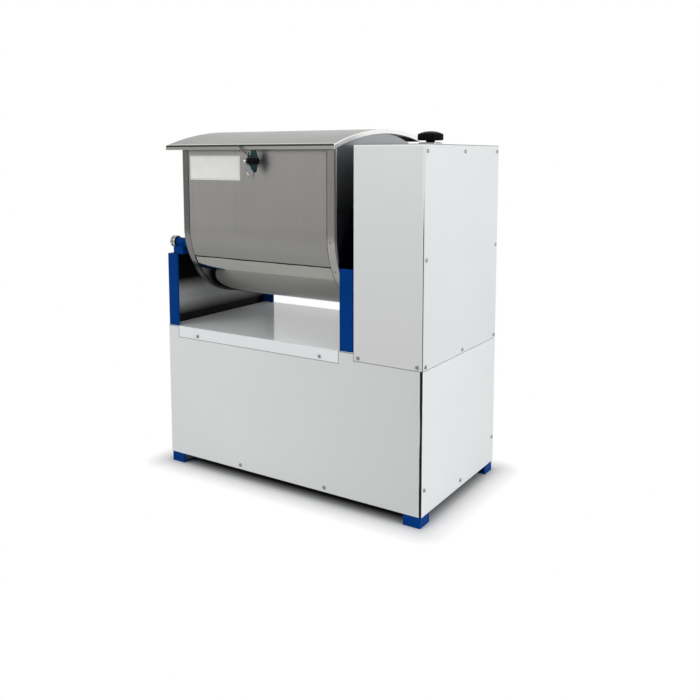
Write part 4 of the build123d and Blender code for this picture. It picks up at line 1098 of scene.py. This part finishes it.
# %% Screws in the pull knob
screw_circle, screw_seat = 0.0084, 0.006
dome = lathe([(0, -0.0002), (0.0021, -0.0002), (0.0021, 0.0008), (0.0017, 0.0017), (0.0009, 0.0022),
              (0, 0.0024)], 20)
dome_places = []
for turn in (radians(-100), radians(20), radians(140)):
    seat = (pull_start[0] + screw_seat, pull_start[1] + screw_circle * cos(turn),
            pull_start[2] + screw_circle * sin(turn))
    dome_places.append((Vector(seat), Vector((1, 0, 0))))
copies("pull_knob_screws", dome_places, finished(dome, "dome"), bright_steel, "tilt_lock", [], "zinc_screws",
       seed=9)


# %% [markdown]
# ## Switch knob
# The knob on top of the column is a thick black disc with finger hollows all round and a low dome. A lathe
# profile gives the disc, and a wave round its rim presses the hollows in.

# %% Switch knob
switch_low, switch_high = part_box("switch_knob")
switch_middle = (switch_low + switch_high) / 2
finger_hollows, hollow_depth, hollow_start = 12, 0.050, 0.0202
grip_low = switch_high.z - 0.020
stem_end = switch_low.z - grip_low
grip_profile = [
    (0, stem_end), (0.0069, stem_end), (0.0069, -0.0039), (0.0098, -0.0038), (0.0098, 0.0), (0.0250, 0.0),
    (0.0274, 0.0006), (0.0282, 0.0022), (0.0282, 0.0070), (0.0282, 0.0118), (0.0274, 0.0138),
    (0.0250, 0.0150), (0.0205, 0.0168), (0.0140, 0.0187), (0.0070, 0.0197), (0, 0.0199),
]
grip_work = lathe(grip_profile, 144)
for vertex in grip_work.verts:
    reach = vertex.co.xy.length
    if reach > hollow_start:
        hollow = max(0.0, cos(finger_hollows * turn_of((0, vertex.co.x, vertex.co.y)))) ** 2
        vertex.co.xy *= 1 - hollow_depth * hollow * min(1.0, (reach - hollow_start) / 0.006)
    vertex.co += Vector((switch_middle.x, switch_middle.y, grip_low))
switch_grip = plain_object("switch_grip", finished(grip_work, "switch_grip", finish=black_plastic))
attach(switch_grip, "switch")
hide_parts("switch_knob")
print("switch knob:", [round(value, 4) for value in switch_grip.dimensions])


# %% [markdown]
# ## The blank label
# The trough carries a small white sticker. It stays blank here, with a thin grey border that is a ring of
# faces in the sheet itself, so it needs no picture. The sticker is a thin closed sheet on the trough's front.

# %% Label materials
label_paper, paper_tree, paper_shader = new_material("label_film", Specular_IOR_Level=0.5)
drifting(paper_tree, paper_shader, 40.0, (0.83, 0.83, 0.81), (0.88, 0.88, 0.87), 90.0, 0.35, 0.5)
border_ink, ink_tree, ink_shader = new_material("label_border")
drifting(ink_tree, ink_shader, 200.0, (0.30, 0.30, 0.30), (0.40, 0.40, 0.40), 90.0, 0.4, 0.55)
print("label materials:", label_paper.name, border_ink.name)


# %% Label
def label(x_low, x_high, z_low, z_high, thick, border, line):
    """A thin closed sheet on the trough's front, with a border line set in from its edge."""
    face_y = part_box("tub_front_sheet")[0].y
    work = bmesh.new()
    rings = []
    for inset in (0.0, border, border + line):
        corners = [(x_low + inset, z_low + inset), (x_high - inset, z_low + inset),
                   (x_high - inset, z_high - inset), (x_low + inset, z_high - inset)]
        rings.append([work.verts.new((x, face_y - thick, z)) for x, z in corners])
    back = [work.verts.new((vertex.co.x, face_y + 0.0001, vertex.co.z)) for vertex in rings[0]]
    for k in range(4):
        n = (k + 1) % 4
        work.faces.new([back[k], back[n], rings[0][n], rings[0][k]])
        work.faces.new([rings[0][k], rings[0][n], rings[1][n], rings[1][k]])
        ink = work.faces.new([rings[1][k], rings[1][n], rings[2][n], rings[2][k]])
        ink.material_index = 1
    work.faces.new(rings[2])
    work.faces.new(list(reversed(back)))
    bmesh.ops.recalc_face_normals(work, faces=work.faces)
    mesh = finished(work, "blank_label", smooth=False, finish=label_paper)
    mesh.materials.append(border_ink)
    return mesh


label_mesh = label(-0.260, -0.109, 0.700, 0.755, thick=0.0003, border=0.0022, line=0.0006)
blank_label = plain_object("blank_label", label_mesh)
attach(blank_label, "tub")
print("label:", [round(value, 4) for value in blank_label.dimensions])


# %% [markdown]
# ## Floor, backdrop and light
# The machine stands on a pale studio floor that fades to white. A large soft lamp above and to the left, a
# second from the right and a low room light give the even, soft shade of the photograph. Metal sees a
# white backdrop behind the machine and a dimmer room in front of it.

# %% Floor
fade_start, fade_end = 0.004, 0.065
shade_start, shade_end = -0.035, 0.004


def floor_material():
    """Pale studio floor with a painted shadow under the machine, that fades to plain white for the camera
    around it.
    """
    material, tree, shader = new_material("studio_floor", Roughness=0.9)
    place = add(tree, "TexCoord")
    outside = add(tree, "VectorMath", operation="ABSOLUTE")
    past = add(tree, "VectorMath", operation="SUBTRACT")
    past.inputs[1].default_value = (half_width, half_depth, 0.0)
    clear = add(tree, "VectorMath", operation="MAXIMUM")
    length = add(tree, "VectorMath", operation="LENGTH")
    tree.links.new(place.outputs["Object"], outside.inputs[0])
    tree.links.new(outside.outputs[0], past.inputs[0])
    tree.links.new(past.outputs[0], clear.inputs[0])
    tree.links.new(clear.outputs[0], length.inputs[0])
    fade = span(tree, length.outputs["Value"], 0.0, 1.0, fade_start, fade_end)
    inside = add(tree, "SeparateXYZ")
    tree.links.new(past.outputs[0], inside.inputs[0])
    depth = combine(tree, "MAXIMUM", inside.outputs["X"], inside.outputs["Y"])
    pale = mix(tree, span(tree, noise(tree, 2.0), 0.0, 1.0), (0.86, 0.86, 0.86), (0.88, 0.88, 0.88))
    # painted shadow: the floor is near black inside the machine's footprint
    under = span(tree, depth, 0.0, 1.0, shade_start, shade_end)
    tree.links.new(mix(tree, under, (0.02, 0.02, 0.02), pale), shader.inputs["Base Color"])
    rays = add(tree, "LightPath")
    white = add(tree, "Emission", Strength=1.0)
    blend = add(tree, "MixShader")
    tree.links.new(both(tree, fade, rays.outputs["Is Camera Ray"]), blend.inputs[0])
    tree.links.new(shader.outputs[0], blend.inputs[1])
    tree.links.new(white.outputs[0], blend.inputs[2])
    tree.links.new(blend.outputs[0], tree.nodes["Material Output"].inputs["Surface"])
    return material


floor_work = bmesh.new()
bmesh.ops.create_circle(floor_work, cap_ends=True, segments=96, radius=3.0)
floor_mesh = finished(floor_work, "studio_floor", smooth=False, finish=floor_material())
floor = plain_object("studio_floor", floor_mesh)
print("floor:", [round(value, 2) for value in floor.dimensions])


# %% World
room_front, room_back, room_soft = 0.42, 1.0, 0.52


def studio_world():
    """White for the camera, dimmer in front than behind for metal, and an even soft light for paint."""
    world = bpy.data.worlds.new("studio")
    world.use_nodes = True
    bpy.context.scene.world = world
    tree = world.node_tree
    backdrop = tree.nodes["Background"]
    backdrop.inputs["Color"].default_value = (1, 1, 1, 1)
    place = add(tree, "TexCoord")
    split = add(tree, "SeparateXYZ")
    tree.links.new(place.outputs["Generated"], split.inputs[0])
    room = span(tree, split.outputs["Y"], room_front, room_back, -0.35, 0.35)
    rays = add(tree, "LightPath")
    for_camera = combine(tree, "MAXIMUM", room, rays.outputs["Is Camera Ray"])
    soft = add(tree, "Mix")
    soft.data_type = "FLOAT"
    tree.links.new(rays.outputs["Is Diffuse Ray"], soft.inputs["Factor"])
    tree.links.new(for_camera, soft.inputs["A"])
    soft.inputs["B"].default_value = room_soft
    tree.links.new(soft.outputs[0], backdrop.inputs["Strength"])
    return world


print("world:", studio_world().name)


# %% Lamps
def lamp(name, place, aim, size, power, colour=(1, 1, 1)):
    """A soft rectangular lamp that looks at a point of the machine."""
    data = bpy.data.lights.new(name, "AREA")
    data.shape = "RECTANGLE"
    data.size, data.size_y = size
    data.energy = power
    data.color = colour
    item = bpy.data.objects.new(name, data)
    item.location = place
    item.rotation_euler = (Vector(aim) - Vector(place)).to_track_quat("-Z", "Y").to_euler()
    bpy.context.scene.collection.objects.link(item)


lit_middle = (0, 0, 0.45)
lamp("key", (-1.4, -2.9, 2.2), lit_middle, (2.2, 1.8), 31)
lamp("side", (3.2, -0.4, 1.8), lit_middle, (1.8, 2.2), 44, (0.97, 0.99, 1.0))
